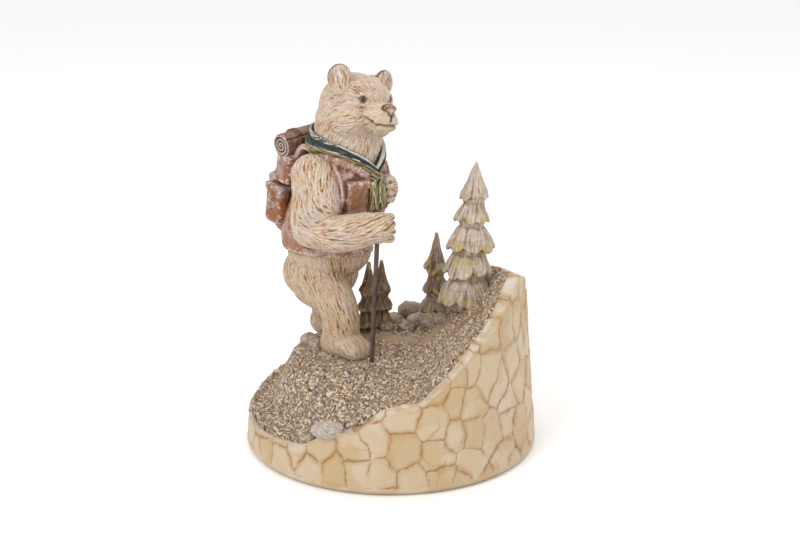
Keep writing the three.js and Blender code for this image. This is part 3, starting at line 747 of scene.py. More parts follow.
def drape(turn):
    """The neckerchief's middle, height and half breadth at a turn from its knot; the far side is tucked."""
    round_from_knot = np.degrees(np.arccos(np.cos(turn)))
    angles, heights, halves = zip(*kerchief_drape)
    far = np.maximum(np.sin(turn), 0)
    reach_x = 25 - 1.5 * far
    reach_y = 23.5 - 3.5 * np.maximum(np.cos(turn), 0) - 3 * far
    height = np.interp(round_from_knot, angles, heights)
    place_at = np.stack([14 + reach_x * np.cos(turn), reach_y * np.sin(turn), height], axis=-1)
    return place_at, np.interp(round_from_knot, angles, halves)


def make_neckerchief(material):
    """The folded neckerchief with its knot and two hanging tails."""
    masses = []
    turns = np.linspace(0, 2 * math.pi, 73)[:-1]
    middles, halves = drape(turns)
    tangents = np.roll(middles, -1, axis=0) - np.roll(middles, 1, axis=0)
    for middle, half, tangent in zip(middles, halves, tangents):
        egg(masses, middle, (half, 2.5, 2.8), BEAR, frame_on(tangent, (0.2, 0, 1)))
    egg(masses, (40, -0.5, 119.5), (3.9, 4.4, 4.0), BEAR)
    limb(masses, [(40, -0.6, 117, 2.6, 2), (40, -2, 108, 3.4, 2.3), (40, -2.4, 99, 3.2, 2)], BEAR)
    limb(masses, [(40, 0.4, 117, 2.6, 2), (40.5, 3, 108, 3.8, 2.3), (41, 4.6, 100, 3.4, 2)], BEAR)
    piece = fused("neckerchief", masses, fold_step, 2)
    mesh = piece.data
    x, y, z = placed_back(points_of(mesh), BEAR).T
    normals = normals_of(mesh) @ np.array(BEAR)[:3, :3]
    turn = round_neck(x, y)
    middle, half = drape(turn)
    share = (z - middle[:, 2]) / half
    tail = smoothstep(x, 33, 35) * (1 - smoothstep(z, 117, 120))
    band_folds = np.cos(share * 5.6 + 0.9 * np.sin(3 * turn) + 0.6)
    tail_folds = np.cos(y * 1.5 + z * 0.16 + 0.8 * np.sin(z * 0.31))
    pleats = band_folds + (tail_folds - band_folds) * tail
    push(mesh, 0.55 * pleats)
    weathered(piece, (9, 9, 3), 0.08, 17)
    outer = ((x - 14) / 25) * normals[:, 0] + (y / 22) * normals[:, 1]
    mark(mesh, "pleat", smoothstep(pleats, 0, 0.9) * np.maximum(tail, smoothstep(outer, -0.2, 0.3)))
    mark(mesh, "upper_edge", smoothstep(share, 0.9, 1.02) * (1 - tail) * smoothstep(outer, -0.3, 0.2))
    mark(mesh, "lower", np.maximum(1 - smoothstep(share, -0.35, 0.15), tail))
    mark_strand(mesh, np.where(tail > 0.5, y, share * half), np.where(tail > 0.5, z, turn * 24), 0 * x)
    return finish(piece, material)


# Mound

wall_around = 620
wall_rows = 92
wall_profile = [0, 0.02, 0.03, 0.05, 0.1, 0.96, 0.985, 1]


def flat_cells(across, up, size, seed, around):
    """Stones on an unrolled wall: mm to the nearest border and two numbers of each stone's own."""
    rng = np.random.default_rng(seed)
    columns = int(np.ptp(across) / size[0]) + 3
    rows = int(np.ptp(up) / size[1]) + 3
    corners = np.meshgrid(np.arange(columns) - 1, np.arange(rows) - 1, indexing="ij")
    grid = np.stack(corners, axis=-1).reshape(-1, 2)
    seeds = (grid + 0.5 + rng.uniform(-0.42, 0.42, grid.shape)) * np.array(size)
    own = rng.random((len(seeds), 2))
    kept = (seeds[:, 0] >= 0) & (seeds[:, 0] < around)
    seeds, own = seeds[kept], own[kept]
    seeds = np.concatenate([seeds, seeds + [around, 0], seeds - [around, 0]])
    own = np.tile(own, (3, 1))
    tree = kdtree.KDTree(len(seeds))
    for k, (s, t) in enumerate(seeds):
        tree.insert((s, t * size[0] / size[1], 0), k)
    tree.balance()
    spots = np.stack([across, (up - up.min()) * size[0] / size[1], 0 * up], axis=1)
    border = np.empty(len(spots))
    owner = np.empty(len(spots), int)
    for k, spot in enumerate(spots.tolist()):
        (first, a, near), (second, b, far) = tree.find_n(spot, 2)
        border[k] = (far * far - near * near) / (2 * (first - second).length)
        owner[k] = a
    return border, own[owner]


def wall_skin():
    """The wall's grid as a share down its profile and a turn round it, with its object."""
    bm = bmesh.new()
    bmesh.ops.create_grid(bm, x_segments=wall_around, y_segments=wall_rows, size=1)
    points, faces = taken(bm)
    share = (1 - points[:, 1]) / 2
    turn = (points[:, 0] + 1) * math.pi
    return share, turn, faces


def wall_shape(share, turn):
    """The wall's points at a share down its profile: sunk floor, rim strip, taper, foot, underside."""
    rim = rim_height(np.cos(turn), np.sin(turn))
    same = np.ones(len(rim))
    outer = base_radius - wall_taper * rim
    inner = outer - strip_width
    radii = [0 * same, inner * 0.985, inner, inner + 1.5, outer - 0.3,
             (base_radius - wall_taper * foot_chamfer) * same, (base_radius - foot_chamfer) * same, 0 * same]
    heights = [12 * same, 12 * same, rim - 0.5, rim + 0.6, rim - 0.4, foot_chamfer * same, 0 * same, 0 * same]
    radius, height = np.zeros(len(share)), np.zeros(len(share))
    for k, (low, high) in enumerate(zip(wall_profile, wall_profile[1:])):
        part = share >= low - 1e-6
        mix = np.clip((share - low) / (high - low), 0, 1)
        radius = np.where(part, radii[k] + (radii[k + 1] - radii[k]) * mix, radius)
        height = np.where(part, heights[k] + (heights[k + 1] - heights[k]) * mix, height)
    taper = (share > wall_profile[4]) & (share < wall_profile[5])
    radius = np.where(taper, base_radius - wall_taper * height, radius)
    return np.stack([radius * np.cos(turn), radius * np.sin(turn), height], axis=1)


def closed(piece, gap):
    """Welds the seam and the poles of a wrapped grid and turns its faces outwards."""
    bm = bmesh.new()
    bm.from_mesh(piece.data)
    bmesh.ops.remove_doubles(bm, verts=bm.verts, dist=gap)
    bmesh.ops.dissolve_degenerate(bm, edges=bm.edges, dist=gap)
    bmesh.ops.recalc_face_normals(bm, faces=bm.faces)
    bm.to_mesh(piece.data)
    bm.free()


def make_wall(material):
    """The hewn wall: chisel cells with cut lines between them, and the smooth rim strip."""
    share, turn, faces = wall_skin()
    shape = wall_shape(share, turn)
    on_strip = smoothstep(share, 0.02, 0.035) * (1 - smoothstep(share, 0.07, 0.1))
    ring = np.stack([np.cos(turn), np.sin(turn), 0 * turn], axis=1) * base_radius
    shape[:, 2] += on_strip * (1.1 * rough(ring, 12, 7) - 0.3)
    piece = built("mound_wall", [(shape, faces)])
    mesh = piece.data
    closed(piece, 0.004)
    points = points_of(mesh)
    radius = np.hypot(points[:, 0], points[:, 1])
    rim = rim_height(points[:, 0], points[:, 1])
    girth = 2 * math.pi * base_radius
    unrolled = (np.arctan2(points[:, 1], points[:, 0]) + math.pi) * base_radius
    wander = [2.4 * rough(points, 13, s) + 0.7 * rough(points, 3.5, s + 4) for s in (1, 2)]
    up = points[:, 2] + 6
    border, own = flat_cells(unrolled + wander[0], up + wander[1], (girth / 36, 21), 4, girth)
    fine_border, fine_own = flat_cells(unrolled + wander[1], up + wander[0], (girth / 60, 24), 9, girth)
    outer = base_radius - wall_taper * rim
    hewn = (smoothstep(rim - points[:, 2], 0.5, 3) * smoothstep(points[:, 2], 1.5, 5)
            * smoothstep(radius, outer - 2, outer - 0.5))
    hewn = np.where(points[:, 2] < 1.5, 0, hewn)
    crack_mm = border + (1 - np.maximum(hewn, points[:, 2] > rim - 3)) * 9
    lift = 0.9 * (own[:, 0] - 0.5) - 0.5 * (1 - smoothstep(crack_mm, 0.2, 1.4)) - 0.4
    lift += 0.35 * rough(points, 9, 9)
    push(mesh, np.minimum(hewn * lift, 0))
    mark(mesh, "crack_mm", crack_mm)
    mark(mesh, "hairline_mm", fine_border + (1 - hewn) * 9 + (fine_own[:, 0] < 0.7) * 9)
    mark(mesh, "cell", own[:, 1])
    on_top = np.maximum(smoothstep(outer - radius, 0.2, 1.4), smoothstep(points[:, 2] - rim, -1.2, 0))
    mark(mesh, "strip", np.where(points[:, 2] > rim - 3, on_top, 0))
    return finish(piece, material)


# Bare places in the gravel: middle, half sizes, and how brown they are
bare_patches = [(14, -18, 6, 4, 0.6), (50, -13, 12, 4.5, 1), (2, 30, 18, 9, 0.5), (26, 18, 14, 8, 0.6),
                (62, -69, 13, 5, 0), (72, -60, 9, 7, 0)]


def ground_disc(reach):
    """A flat disc of squares with a skirt and a closed underside, as a form."""
    bm = bmesh.new()
    count = int(2 * reach / ground_step)
    bmesh.ops.create_grid(bm, x_segments=count, y_segments=count, size=reach)
    outside = [vert for vert in bm.verts if vert.co.length > reach * 0.985]
    bmesh.ops.delete(bm, geom=outside, context="VERTS")
    skirt = bmesh.ops.extrude_edge_only(bm, edges=[edge for edge in bm.edges if edge.is_boundary])
    for part in skirt["geom"]:
        if isinstance(part, bmesh.types.BMVert):
            part.co.z = -1
    bmesh.ops.contextual_create(bm, geom=[edge for edge in bm.edges if edge.is_boundary])
    bmesh.ops.recalc_face_normals(bm, faces=bm.faces)
    return taken(bm)


def make_ground(material):
    """The gravel: a pitted crust of worm-like crumbs, and smooth bare patches."""
    reach = gravel_radius + gravel_set_back + 1.5
    points, faces = ground_disc(reach)
    x, y, below = points.T
    bearing = np.degrees(np.arctan2(y, x))
    front = smoothstep(bearing, -132, -112) * (1 - smoothstep(bearing, -34, -12))
    right = smoothstep(bearing, -50, -28) * (1 - smoothstep(bearing, 25, 55))
    limit = base_radius - wall_taper * rim_height(x, y) - 1.6 - 7.4 * front - 4.6 * right * (1 - front)
    x, y = x * (limit + 1.2) / reach, y * (limit + 1.2) / reach
    flat = np.stack([x, y, 0 * x], axis=1)
    ragged = limit + 0.4 - (0.5 + 2.2 * front) * (1 + rough(flat, 9, 4))
    left = smoothstep(-x, 55, 88)
    top = surface_height(x, y) + 1.4 * left
    plate = 1 - smoothstep(np.hypot(x, y), ragged - 1.0, ragged + 0.4)
    spot = np.stack([x, y, top], axis=1)
    lumps = rough(spot, 8, 1, 3)
    wander = spot + 0.7 * np.stack([rough(spot, 2, s, 1) for s in (5, 6, 7)], axis=1)
    _, middle, own = cells(wander, 3.0, 3)
    _, small, small_own = cells(wander, 2.0, 8)
    bare, brown = np.zeros(len(x)), np.zeros(len(x))
    for patch_x, patch_y, half_x, half_y, shade in bare_patches:
        gap = np.hypot((x - patch_x) / half_x, (y - patch_y) / half_y) + 0.25 * rough(spot, 6, 2)
        share = 1 - smoothstep(gap, 0.75, 1.0)
        brown = np.where(share > bare, shade, brown)
        bare = np.maximum(bare, share)
    pit = np.maximum((own[:, 0] > 0.3) * (1 - smoothstep(middle, 0.16, 0.4)),
                     (small_own[:, 0] > 0.5) * (1 - smoothstep(small, 0.16, 0.4))) * (1 - bare)
    relief = 1.3 * lumps + (1 - bare) * (0.7 * smoothstep(middle, 0.2, 0.7) - 1.5 * pit) - 0.6
    height = top - (1 - plate) * 3.2 + relief * plate
    height = np.where(below > -0.5, height, low_of_ground)
    piece = built("gravel_ground", [(np.stack([x, y, height], axis=1), faces)])
    mesh = piece.data
    # The pits are cut in and also carry painted shade, nearly black.
    mark(mesh, "pit", pit)
    mark(mesh, "crumb", 0.5 * own[:, 1] + 0.5 * small_own[:, 1])
    mark(mesh, "bare", bare)
    mark(mesh, "brown", brown)
    # Painted shade: darker where the broad lumps dip.
    mark(mesh, "shade", smoothstep(-lumps, -0.1, 0.7))
    return finish(piece, material)


# Stones: place, half sizes, and 1 for brown, 0 for grey
stone_places = [(-51, -75, 6, 5.5, 6, 1), (-38, -84, 11, 5, 6.5, 0), (-54, 19, 7, 6, 6, 0.4),
                (-49.4, 8.6, 6, 6, 6, 0.6), (-1, 68, 9, 8, 6, 0.5), (13, 80, 10, 6, 7, 0.4),
                (25.7, 41.8, 8, 7, 7, 0.6), (-3, 45, 6, 5, 5, 0.8), (10, 50, 7, 6, 5, 0.7),
                (33, 30, 6, 5, 5, 0.6), (18, 61, 9, 7, 6, 0.5)]


def make_stones(material):
    """Weathered stones by the foot, along the back and at the front rim."""
    masses = []
    for x, y, half_x, half_y, half_z, _ in stone_places:
        z = float(surface_height(x, y)) + half_z * 0.3 - 0.3
        half = Vector((half_x, half_y, half_z)) * 0.93
        place(masses, unit_ball(40, 26), Matrix.Translation((x, y, z)) @ Matrix.Diagonal((*half, 1)))
    piece = built("stones", masses)
    mesh = piece.data
    points = points_of(mesh)
    border, _, own = cells(points + rough(points, 6, 2)[:, None], (7, 7, 5), 21)
    push(mesh, 1.0 * (own[:, 0] - 0.75) + 0.3 * smoothstep(border, 0, 0.2) - 0.3 + 0.3 * rough(points, 3, 4))
    places = np.array(stone_places)
    nearest = np.hypot(points[:, :1] - places[:, 0], points[:, 1:2] - places[:, 1]).argmin(axis=1)
    bump = raised(mesh, 8)
    mark(mesh, "ridge", smoothstep(bump, 0.03, 0.25))
    mark(mesh, "groove", smoothstep(-bump, 0.02, 0.2))
    mark(mesh, "brown", places[nearest, 5])
    return finish(piece, material)


def fir_masses(x, y, foot, height, radius, lean, tiers, boughs, rng):
    """A fir's stem and its drooping boughs, a ring of lobes to each tier."""
    masses = []
    stem = [(1.6 / height, 1.4 / radius), (tiers[0][0] * 0.5, tiers[0][1] * 0.46)]
    for k, (drop, reach) in enumerate(tiers):
        if k:
            above, neck = tiers[k - 1][0], tiers[k - 1][1] * 0.62
            stem.append((above + 0.25 * (drop - above), neck))
            stem.append((above + 0.62 * (drop - above), neck + (reach * 0.84 - neck) * 0.5))
        stem.append((drop - 0.03, reach * 0.84))
    stem.append((1, tiers[-1][1] * 0.6))
    drops, reaches = zip(*stem)
    for drop in np.arange(drops[0], 1, 0.7 / height):
        r = np.interp(drop, drops, reaches) * radius
        egg(masses, (x + lean * (1 - drop), y, foot + height * (1 - drop)), (r, r, 1.5), STILL)
    for k, (drop, reach) in enumerate(tiers):
        above = tiers[k - 1][0] if k else 0
        gap = (drop - above) * height
        count = boughs + k % 2
        for j in range(count):
            turn = 2 * math.pi * (j + 0.5 * (k % 2) + rng.uniform(-0.18, 0.18)) / count
            out = reach * radius * rng.uniform(0.88, 1.0)
            low = foot + height * (1 - drop) + rng.uniform(-0.05, 0.12) * gap
            broad = math.pi * out / count * rng.uniform(0.85, 1.1)
            stations = [(share, low + rise * min(gap, 0.9 * out), broad * wide, out * thick)
                        for share, rise, wide, thick in ((0.5, 0.75, 0.55, 0.15), (0.7, 0.4, 0.85, 0.14),
                                                         (0.82, 0.14, 0.9, 0.12), (0.89, 0.0, 0.6, 0.1))]
            centre_x = x + lean * (1 - drop)
            bough = [(centre_x + share * out * math.cos(turn), y + share * out * math.sin(turn), z, wide, thick)
                     for share, z, wide, thick in stations]
            limb(masses, bough, STILL, (-math.sin(turn), math.cos(turn), 0), 3)
    return masses


def make_fir(name, material):
    """A fir of drooping carved boughs with cuts running down them and gilt tips."""
    (east, north), height, radius, lean, tiers, boughs = firs[name]
    x, y = east * base_radius, north * base_radius
    foot = float(surface_height(x, y)) - fir_sink
    rng = np.random.default_rng(int(height * 10 + x))
    masses = fir_masses(x, y, foot, height, radius, lean, tiers, boughs, rng)
    piece = fused(name, masses, fir_step, 2)
    mesh = piece.data
    points = points_of(mesh)
    drop = 1 - (points[:, 2] - foot) / height
    turn = np.arctan2(points[:, 1] - y, points[:, 0] - x - lean * (1 - drop))
    out = np.hypot(points[:, 1] - y, points[:, 0] - x - lean * (1 - drop))
    round_stem = np.stack([np.cos(turn), np.sin(turn), 0 * turn], axis=1) * radius * 0.6
    cuts = rough(round_stem + points * np.array([0, 0, 0.12]), 1.5, 3, 1)
    push(mesh, 0.6 * cuts + 0.2 * rough(points, 4, 5) - 0.25)
    bump = raised(mesh, 6)
    mark(mesh, "ridge", smoothstep(bump, 0.04, 0.35))
    mark(mesh, "groove", np.maximum(smoothstep(-bump, 0.03, 0.3), smoothstep(-cuts, 0.1, 0.55)))
    gilt = np.zeros(len(points))
    for tier_drop, reach in tiers:
        near_rim = smoothstep(out / radius, reach * 0.76, reach * 0.92)
        gilt = np.maximum(gilt, near_rim * np.exp(-((drop - tier_drop + 0.01) / 0.04) ** 2))
    mark(mesh, "gilt", gilt * smoothstep(rough(points, 7, 11), -0.25, 0.35))
    mark(mesh, "lock", (np.sin(np.floor(turn * 1.3) * 7.1 + np.floor(drop * 6) * 3.3) + 1) / 2)
    mark_strand(mesh, turn * radius * 0.6, points[:, 2], 0 * out)
    return finish(piece, material)


# Paint

def colour(code):
    """The linear colour of an sRGB hex value, as deep as matt paint is beside white paper."""
    parts = [int(code[k:k + 2], 16) / 255 for k in (0, 2, 4)]
    return [*(paint_depth * (p / 12.92 if p <= 0.04045 else ((p + 0.055) / 1.055) ** 2.4) for p in parts), 1]


def add(tree, kind, settings=None, inputs=None):
    """Adds a node with its settings, and joins or sets its inputs."""
    made = tree.nodes.new(kind)
    for key, value in (settings or {}).items():
        setattr(made, key, value)
    for key, value in (inputs or {}).items():
        if isinstance(value, bpy.types.NodeSocket):
            tree.links.new(value, made.inputs[key])
        else:
            made.inputs[key].default_value = value
    return made


def coat(tree, under, over, share):
    """A paint laid over another where share says."""
    mixed = add(tree, "ShaderNodeMix", {"data_type": "RGBA"}, {0: share, 6: under, 7: over})
    return mixed.outputs[2]


def between(tree, value, low, high, top=1.0):
    """Eases a value from 0 at low to top at high."""
    ranged = add(tree, "ShaderNodeMapRange", {"interpolation_type": "SMOOTHSTEP"},
                 {"Value": value, "From Min": low, "From Max": high, "To Max": top})
    return ranged.outputs["Result"]


def times(tree, a, b):
    """The product of two values."""
    return add(tree, "ShaderNodeMath", {"operation": "MULTIPLY"}, {0: a, 1: b}).outputs[0]


def stored(tree, name, kind="Fac"):
    """A number, or the place on a strand, that the piece's points carry."""
    return add(tree, "ShaderNodeAttribute", {"attribute_name": name}).outputs[kind]


def patches(tree, size_mm, detail=3.0, stretch=(1, 1, 1)):
    """Cloudy noise at a real size in millimetres, on the piece's own coordinates."""
    here = add(tree, "ShaderNodeTexCoord").outputs["Object"]
    mapped = add(tree, "ShaderNodeMapping", {}, {"Vector": here, "Scale": stretch})
    cloud = add(tree, "ShaderNodeTexNoise", {},
                {"Vector": mapped.outputs[0], "Scale": 1 / (size_mm * MM), "Detail": detail})
    return cloud.outputs["Fac"]


def streaks(tree, across_mm, along_mm, shift=0.0):
    """Brush streaks that run along the carved strands, at real sizes in millimetres."""
    scale = (1 / across_mm, 1 / along_mm, 3.7)
    mapped = add(tree, "ShaderNodeMapping", {},
                 {"Vector": stored(tree, "strand", "Vector"), "Scale": scale, "Location": (shift, 0, shift)})
    noise_on = {"Vector": mapped.outputs[0], "Scale": 1.0, "Detail": 2.0}
    return add(tree, "ShaderNodeTexNoise", {}, noise_on).outputs["Fac"]


def crumbs(tree, size_mm):
    """How far each place is from the middle of its crumb, in crumb sizes."""
    here = add(tree, "ShaderNodeTexCoord").outputs["Object"]
    wander = add(tree, "ShaderNodeTexNoise", {}, {"Vector": here, "Scale": 1 / (1.6 * MM), "Detail": 1.0})
    bent = add(tree, "ShaderNodeVectorMath", {"operation": "MULTIPLY_ADD"},
               {0: wander.outputs["Color"], 1: (0.0013, 0.0013, 0.0013), 2: here})
    return add(tree, "ShaderNodeTexVoronoi", {}, {"Vector": bent.outputs[0], "Scale": 1 / (size_mm * MM)})


def paint(name, build, roughness, grain_mm=0.5, grain_height=0.00006):
    """A painted resin: build gives its colour, with the fine tooth of brushed acrylic as bump."""
    material = bpy.data.materials.new(name)
    material.use_nodes = True
    tree = material.node_tree
    tree.nodes.clear()
    tooth = add(tree, "ShaderNodeBump", {},
                {"Strength": 0.6, "Distance": grain_height, "Height": patches(tree, grain_mm)})
    shader = add(tree, "ShaderNodeBsdfPrincipled", {},
                 {"Base Color": build(tree), "Roughness": roughness, "Normal": tooth.outputs[0]})
    add(tree, "ShaderNodeOutputMaterial", {}, {"Surface": shader.outputs[0]})
    return material


def fur_coats(tree, cream="d9c09c", tan="c0955f", wash="96622c", brush="f4eae6"):
    """Cream and tan locks, ochre wash run into the cuts, lilac white dragged over the backs."""
    base = coat(tree, colour(cream), colour(tan), between(tree, stored(tree, "lock"), 0.2, 1.0, 0.8))
    lilac = between(tree, patches(tree, 9, 3.0, (1, 1, 0.6)), 0.5, 0.64, 0.6)
    base = coat(tree, base, colour("c4b0a8"), lilac)
    base = coat(tree, base, colour("b87d38"), between(tree, patches(tree, 12), 0.5, 0.66, 0.7))
    base = coat(tree, base, colour("a8743f"), between(tree, streaks(tree, 0.5, 5.0), 0.5, 0.66, 0.7))
    washed = coat(tree, base, colour(wash), between(tree, stored(tree, "groove"), 0.2, 1.0, 0.9))
    dragged = times(tree, between(tree, stored(tree, "ridge"), 0.1, 0.7),
                    between(tree, streaks(tree, 0.45, 4.0, 31.0), 0.42, 0.56))
    return coat(tree, washed, colour(brush), times(tree, dragged, 0.85))


def head_coats(tree):
    """The fur's paint, paler at the muzzle, with dark ear rims and cut lines at the mouth."""
    fur = fur_coats(tree)
    pale = coat(tree, fur, colour("dcc7a6"), times(tree, stored(tree, "muzzle"), 0.55))
    lined = coat(tree, pale, colour("5c3824"), times(tree, stored(tree, "line"), 0.85))
    strands = between(tree, patches(tree, 1.3, 2.0, (1, 1, 0.2)), 0.42, 0.58)
    ear = coat(tree, colour("b98c5e"), colour("f6ece6"), strands)
    with_ear = coat(tree, lined, ear, times(tree, stored(tree, "inner_ear"), 0.85))
    return coat(tree, with_ear, colour("43261a"), times(tree, stored(tree, "ear_rim"), 0.9))


def leather_coats(tree, body, deep, edge, blush):
    """Worn leather or canvas: dark wash in the seams, soft mauve bloom, pale dragged edges."""
    base = coat(tree, colour(body), colour(blush), between(tree, patches(tree, 10, 3.0), 0.4, 0.62))
    base = coat(tree, base, colour(deep), between(tree, patches(tree, 4, 3.0), 0.52, 0.74, 0.5))
    washed = coat(tree, base, colour(deep), between(tree, stored(tree, "groove"), 0.05, 0.7, 0.9))
    worn = times(tree, between(tree, stored(tree, "ridge"), 0.3, 1.0),
                 between(tree, patches(tree, 1.8, 2.0), 0.4, 0.6))
    return coat(tree, washed, colour(edge), times(tree, worn, 0.6))


def vest_coats(tree):
    """Mauve-brown leather with a brown wash and whitish edges."""
    return leather_coats(tree, "a5714f", "633b26", "f2e6e0", "c4a194")


def pack_coats(tree):
    """Rust canvas clouded with mauve grey."""
    return leather_coats(tree, "9c6234", "5a3320", "f2e6e0", "b29890")


def bedroll_coats(tree):
    """The blanket's rust paint with pale spiral edges and a dark red strap."""
    base = leather_coats(tree, "86532f", "4c2a1a", "ecdfd6", "9a786a")
    banded = coat(tree, base, colour("5a3122"), times(tree, stored(tree, "band"), 0.8))
    return coat(tree, banded, colour("dccdc0"), times(tree, stored(tree, "spiral"), 0.75))


def kerchief_coats(tree):
    """Blue-black cloth with long gilt streaks along the pleats and a thin white upper fold."""
    base = coat(tree, colour("181d1e"), colour("54605e"), between(tree, streaks(tree, 0.9, 9.0), 0.54, 0.68))
    gilt = times(tree, between(tree, stored(tree, "lower"), 0.05, 0.6, 1.0),
                 between(tree, streaks(tree, 0.8, 10.0, 17.0), 0.4, 0.54))
    gold = coat(tree, base, colour("b8a060"), times(tree, gilt, 0.85))
    pale = times(tree, between(tree, stored(tree, "pleat"), 0.3, 0.95),
                 between(tree, streaks(tree, 0.5, 6.0, 53.0), 0.5, 0.6))
    dragged = coat(tree, gold, colour("f0ecd8"), times(tree, pale, 0.85))
    return coat(tree, dragged, colour("efece4"), times(tree, stored(tree, "upper_edge"), 0.8))


def nose_coats(tree):
    """A red-brown nose with near-black nostrils and a painted whitish highlight across its middle."""
    base = coat(tree, colour("8c5838"), colour("d0a284"), between(tree, patches(tree, 1.4), 0.45, 0.62))
    dark = coat(tree, base, colour("35221d"), stored(tree, "dark"))
    # The painted highlight laid over the nose.
    return coat(tree, dark, colour("f0e6e2"), times(tree, stored(tree, "painted_highlight"), 0.8))


def eye_coats(tree):
    """A pale rim, a red-brown iris round a dark pupil and a dark upper lid line."""
    base = coat(tree, colour("a88d74"), colour("6b3a30"), stored(tree, "iris"))
    lidded = coat(tree, base, colour("3a241c"), times(tree, stored(tree, "lid"), 0.8))
    return coat(tree, lidded, colour("1c100e"), stored(tree, "pupil"))


def wall_coats(tree):
    """Warm tan stone paint, each cell a shade of its own, thin ochre lines in the cuts."""
    base = coat(tree, colour("d8c1a0"), colour("cfb388"), between(tree, stored(tree, "cell"), 0.1, 0.9))
    base = coat(tree, base, colour("e0cfb8"), between(tree, patches(tree, 22), 0.45, 0.65, 0.6))
    base = coat(tree, base, colour("c39c6c"), between(tree, patches(tree, 5, 5.0), 0.55, 0.75, 0.3))
    strip = coat(tree, colour("ded2c4"), colour("c8ae8c"), between(tree, patches(tree, 8, 4.0), 0.42, 0.62))
    base = coat(tree, base, strip, times(tree, stored(tree, "strip"), 0.85))
    crack = stored(tree, "crack_mm")
    halo = times(tree, between(tree, crack, 3.4, 0.3, 0.5), between(tree, patches(tree, 12), 0.4, 0.6))
    washed = coat(tree, base, colour("b98646"), halo)
    drawn = times(tree, between(tree, crack, 0.7, 0.2, 0.75), between(tree, patches(tree, 9), 0.3, 0.48))
    cut = coat(tree, washed, colour("a26d30"), drawn)
    return coat(tree, cut, colour("b08248"), between(tree, stored(tree, "hairline_mm"), 0.6, 0.2, 0.45))


def gravel_coats(tree):
    """Cream and grey crumbs with pink and brown ones among them, painted shade in the low places between the
    lumps, and nearly black painted shade in the pits.
    """
    crumb = stored(tree, "crumb")
    base = coat(tree, colour("b4946c"), colour("9a8470"), between(tree, crumb, 0.35, 0.65))
    base = coat(tree, base, colour("94623c"), between(tree, crumb, 0.34, 0.24, 0.6))
    fine = crumbs(tree, 1.9).outputs["Distance"]
    base = coat(tree, base, colour("453226"), between(tree, fine, 0.38, 0.16, 0.9))
    light = times(tree, between(tree, fine, 0.44, 0.64), between(tree, patches(tree, 1.8), 0.42, 0.56))
    base = coat(tree, base, colour("f8ead6"), times(tree, light, 0.85))
    # Painted shade in the low places between the lumps.
    shaded = coat(tree, base, colour("86705c"), times(tree, stored(tree, "shade"), 0.45))
    # Painted shade: nearly black in the pits.
    pits = coat(tree, shaded, colour("2e221c"), between(tree, stored(tree, "pit"), 0.2, 0.75, 0.9))
    earth = coat(tree, colour("d8c4a2"), colour("a5764c"), stored(tree, "brown"))
    earth = coat(tree, earth, colour("8a6040"), between(tree, patches(tree, 5, 4.0), 0.5, 0.7, 0.4))
    return coat(tree, pits, earth, times(tree, stored(tree, "bare"), 0.9))


def stone_coats(tree):
    """Grey and brown stones with a dark wash and white dragged over their corners."""
    base = coat(tree, colour("b3a497"), colour("8a6442"), stored(tree, "brown"))
    base = coat(tree, base, colour("cbb08c"), between(tree, patches(tree, 6, 4.0), 0.48, 0.68, 0.8))
    washed = coat(tree, base, colour("5a4433"), between(tree, stored(tree, "groove"), 0.2, 0.9, 0.6))
    dragged = times(tree, stored(tree, "ridge"), between(tree, patches(tree, 1.3), 0.4, 0.6, 0.6))
    return coat(tree, washed, colour("e4dbd0"), dragged)


def fir_coats(tree, wood, dark, cut, pale):
    """Streaked wood with pale dry brushing, brown cuts and gilt bough tips."""
    base = coat(tree, colour(wood), colour(dark), times(tree, stored(tree, "lock"), 0.7))
    base = coat(tree, base, colour(pale), between(tree, streaks(tree, 1.0, 7.0), 0.5, 0.62, 0.7))
    base = coat(tree, base, colour("9c6a40"), between(tree, streaks(tree, 1.2, 9.0, 41.0), 0.56, 0.66, 0.6))
    washed = coat(tree, base, colour(cut), between(tree, stored(tree, "groove"), 0.2, 1.0, 0.8))
    brushed = coat(tree, washed, colour(pale), times(tree, stored(tree, "ridge"), 0.5))
    patch = times(tree, between(tree, patches(tree, 7), 0.56, 0.64),
                  between(tree, stored(tree, "groove"), 0.8, 0.2, 0.7))
    gilded = coat(tree, brushed, colour("d0bc78"), patch)
    tips = times(tree, stored(tree, "gilt"), between(tree, patches(tree, 3.5), 0.36, 0.54))
    return coat(tree, gilded, colour("c9b060"), tips)


def rod_coats(tree):
    """Dark brown satin enamel, a little worn."""
    return coat(tree, colour("47352a"), colour("66503f"), between(tree, patches(tree, 7, 4.0), 0.4, 0.65))


# Scene

def set_camera():
    """The camera at the photograph's place, pitch and lens."""
    lens = bpy.data.cameras.new("camera")
    lens.lens = camera_lens
    lens.sensor_width = 36
    camera = bpy.data.objects.new("camera", lens)
    camera.location = Vector(camera_place) * MM
    camera.rotation_euler = (math.radians(90 - camera_pitch), 0, 0)
    bpy.context.scene.collection.objects.link(camera)
    bpy.context.scene.camera = camera


def set_floor():
    """A plain white floor."""
    bm = bmesh.new()
    bmesh.ops.create_grid(bm, x_segments=2, y_segments=2, size=6)
    floor = built("floor", [taken(bm)])
    material = bpy.data.materials.new("floor_paper")
    material.use_nodes = True
    shader = material.node_tree.nodes["Principled BSDF"]
    shader.inputs["Base Color"].default_value = (0.96, 0.96, 0.96, 1)
    shader.inputs["Roughness"].default_value = 0.9
    floor.data.materials.append(material)


def area_light(name, spot, size, power):
    """A soft box that looks at the middle of the figure."""
    light = bpy.data.lights.new(name, "AREA")
    light.size = size
    light.energy = power
    box = bpy.data.objects.new(name, light)
    box.location = spot
    box.rotation_euler = (Vector((0, 0, 0.11)) - Vector(spot)).to_track_quat("-Z", "Y").to_euler()
    bpy.context.scene.collection.objects.link(box)


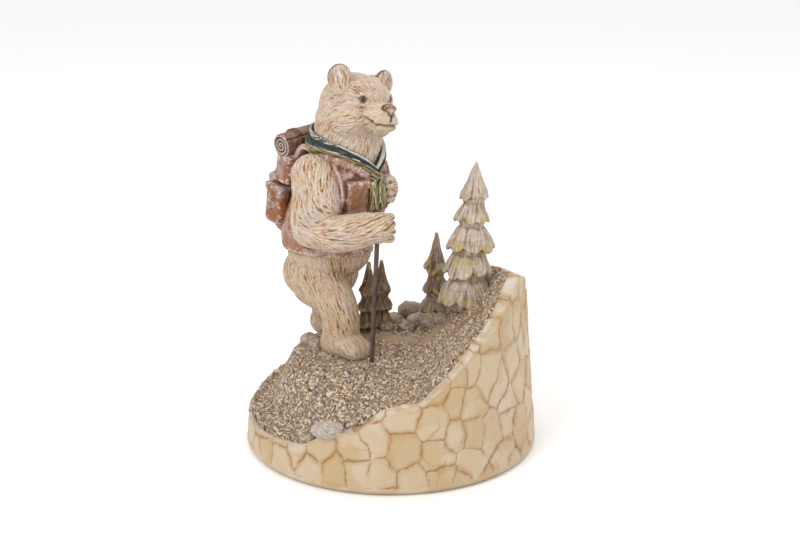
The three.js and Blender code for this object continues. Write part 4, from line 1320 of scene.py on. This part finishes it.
def set_light():
    """A soft key from the upper left, a fill from the right and a white sky."""
    for name, spot, size, power in lights:
        area_light(name, spot, size, power)
    world = bpy.data.worlds.new("studio")
    world.use_nodes = True
    world.node_tree.nodes["Background"].inputs["Color"].default_value = (1, 1, 1, 1)
    world.node_tree.nodes["Background"].inputs["Strength"].default_value = sky_strength
    bpy.context.scene.world = world
    bpy.context.scene.view_settings.view_transform = "Standard"


set_camera()
set_floor()
set_light()

# Fir paints: wood, shaded wood, cuts, dry brush
fir_colours = {
    "fir_big": ("gilt_taupe_fir_resin", "cdb7a4", "b09278", "7d5a40", "f2e9e4"),
    "fir_small": ("gilt_brown_fir_resin", "a98a70", "75573f", "4a3324", "dccabb"),
    "fir_twin_left": ("gilt_dark_fir_resin", "8a6a50", "5c4331", "382619", "b8a08c"),
    "fir_twin_right": ("gilt_dark_fir_resin", "8a6a50", "5c4331", "382619", "b8a08c"),
}


def leg_coats(tree):
    """The fur's paint, darker and with more wash in the cuts."""
    return fur_coats(tree, "cdae80", "b58a56", "764820", "eadfd4")


make_head(paint("carved_head_resin", head_coats, 0.62))
make_nose(paint("nose_enamel", nose_coats, 0.35))
make_eyes(paint("eye_enamel", eye_coats, 0.18))
make_arms(paint("carved_fur_resin", fur_coats, 0.62))
make_legs(paint("carved_leg_resin", leg_coats, 0.62))
make_vest(paint("leather_painted_resin", vest_coats, 0.58))
make_backpack(paint("canvas_painted_resin", pack_coats, 0.6))
make_bedroll(paint("blanket_painted_resin", bedroll_coats, 0.6))
make_neckerchief(paint("gilt_cloth_painted_resin", kerchief_coats, 0.6))
make_wall(paint("hewn_stone_painted_resin", wall_coats, 0.6))
make_ground(paint("gravel_painted_resin", gravel_coats, 0.8))
make_stones(paint("boulder_painted_resin", stone_coats, 0.7))
for fir_name, (resin, *codes) in fir_colours.items():
    resin = bpy.data.materials.get(resin) or paint(resin, lambda tree: fir_coats(tree, *codes), 0.6)
    make_fir(fir_name, resin)

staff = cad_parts[STAFF]
staff.material_slots[0].material = paint("brown_enamelled_rod", rod_coats, 0.42)
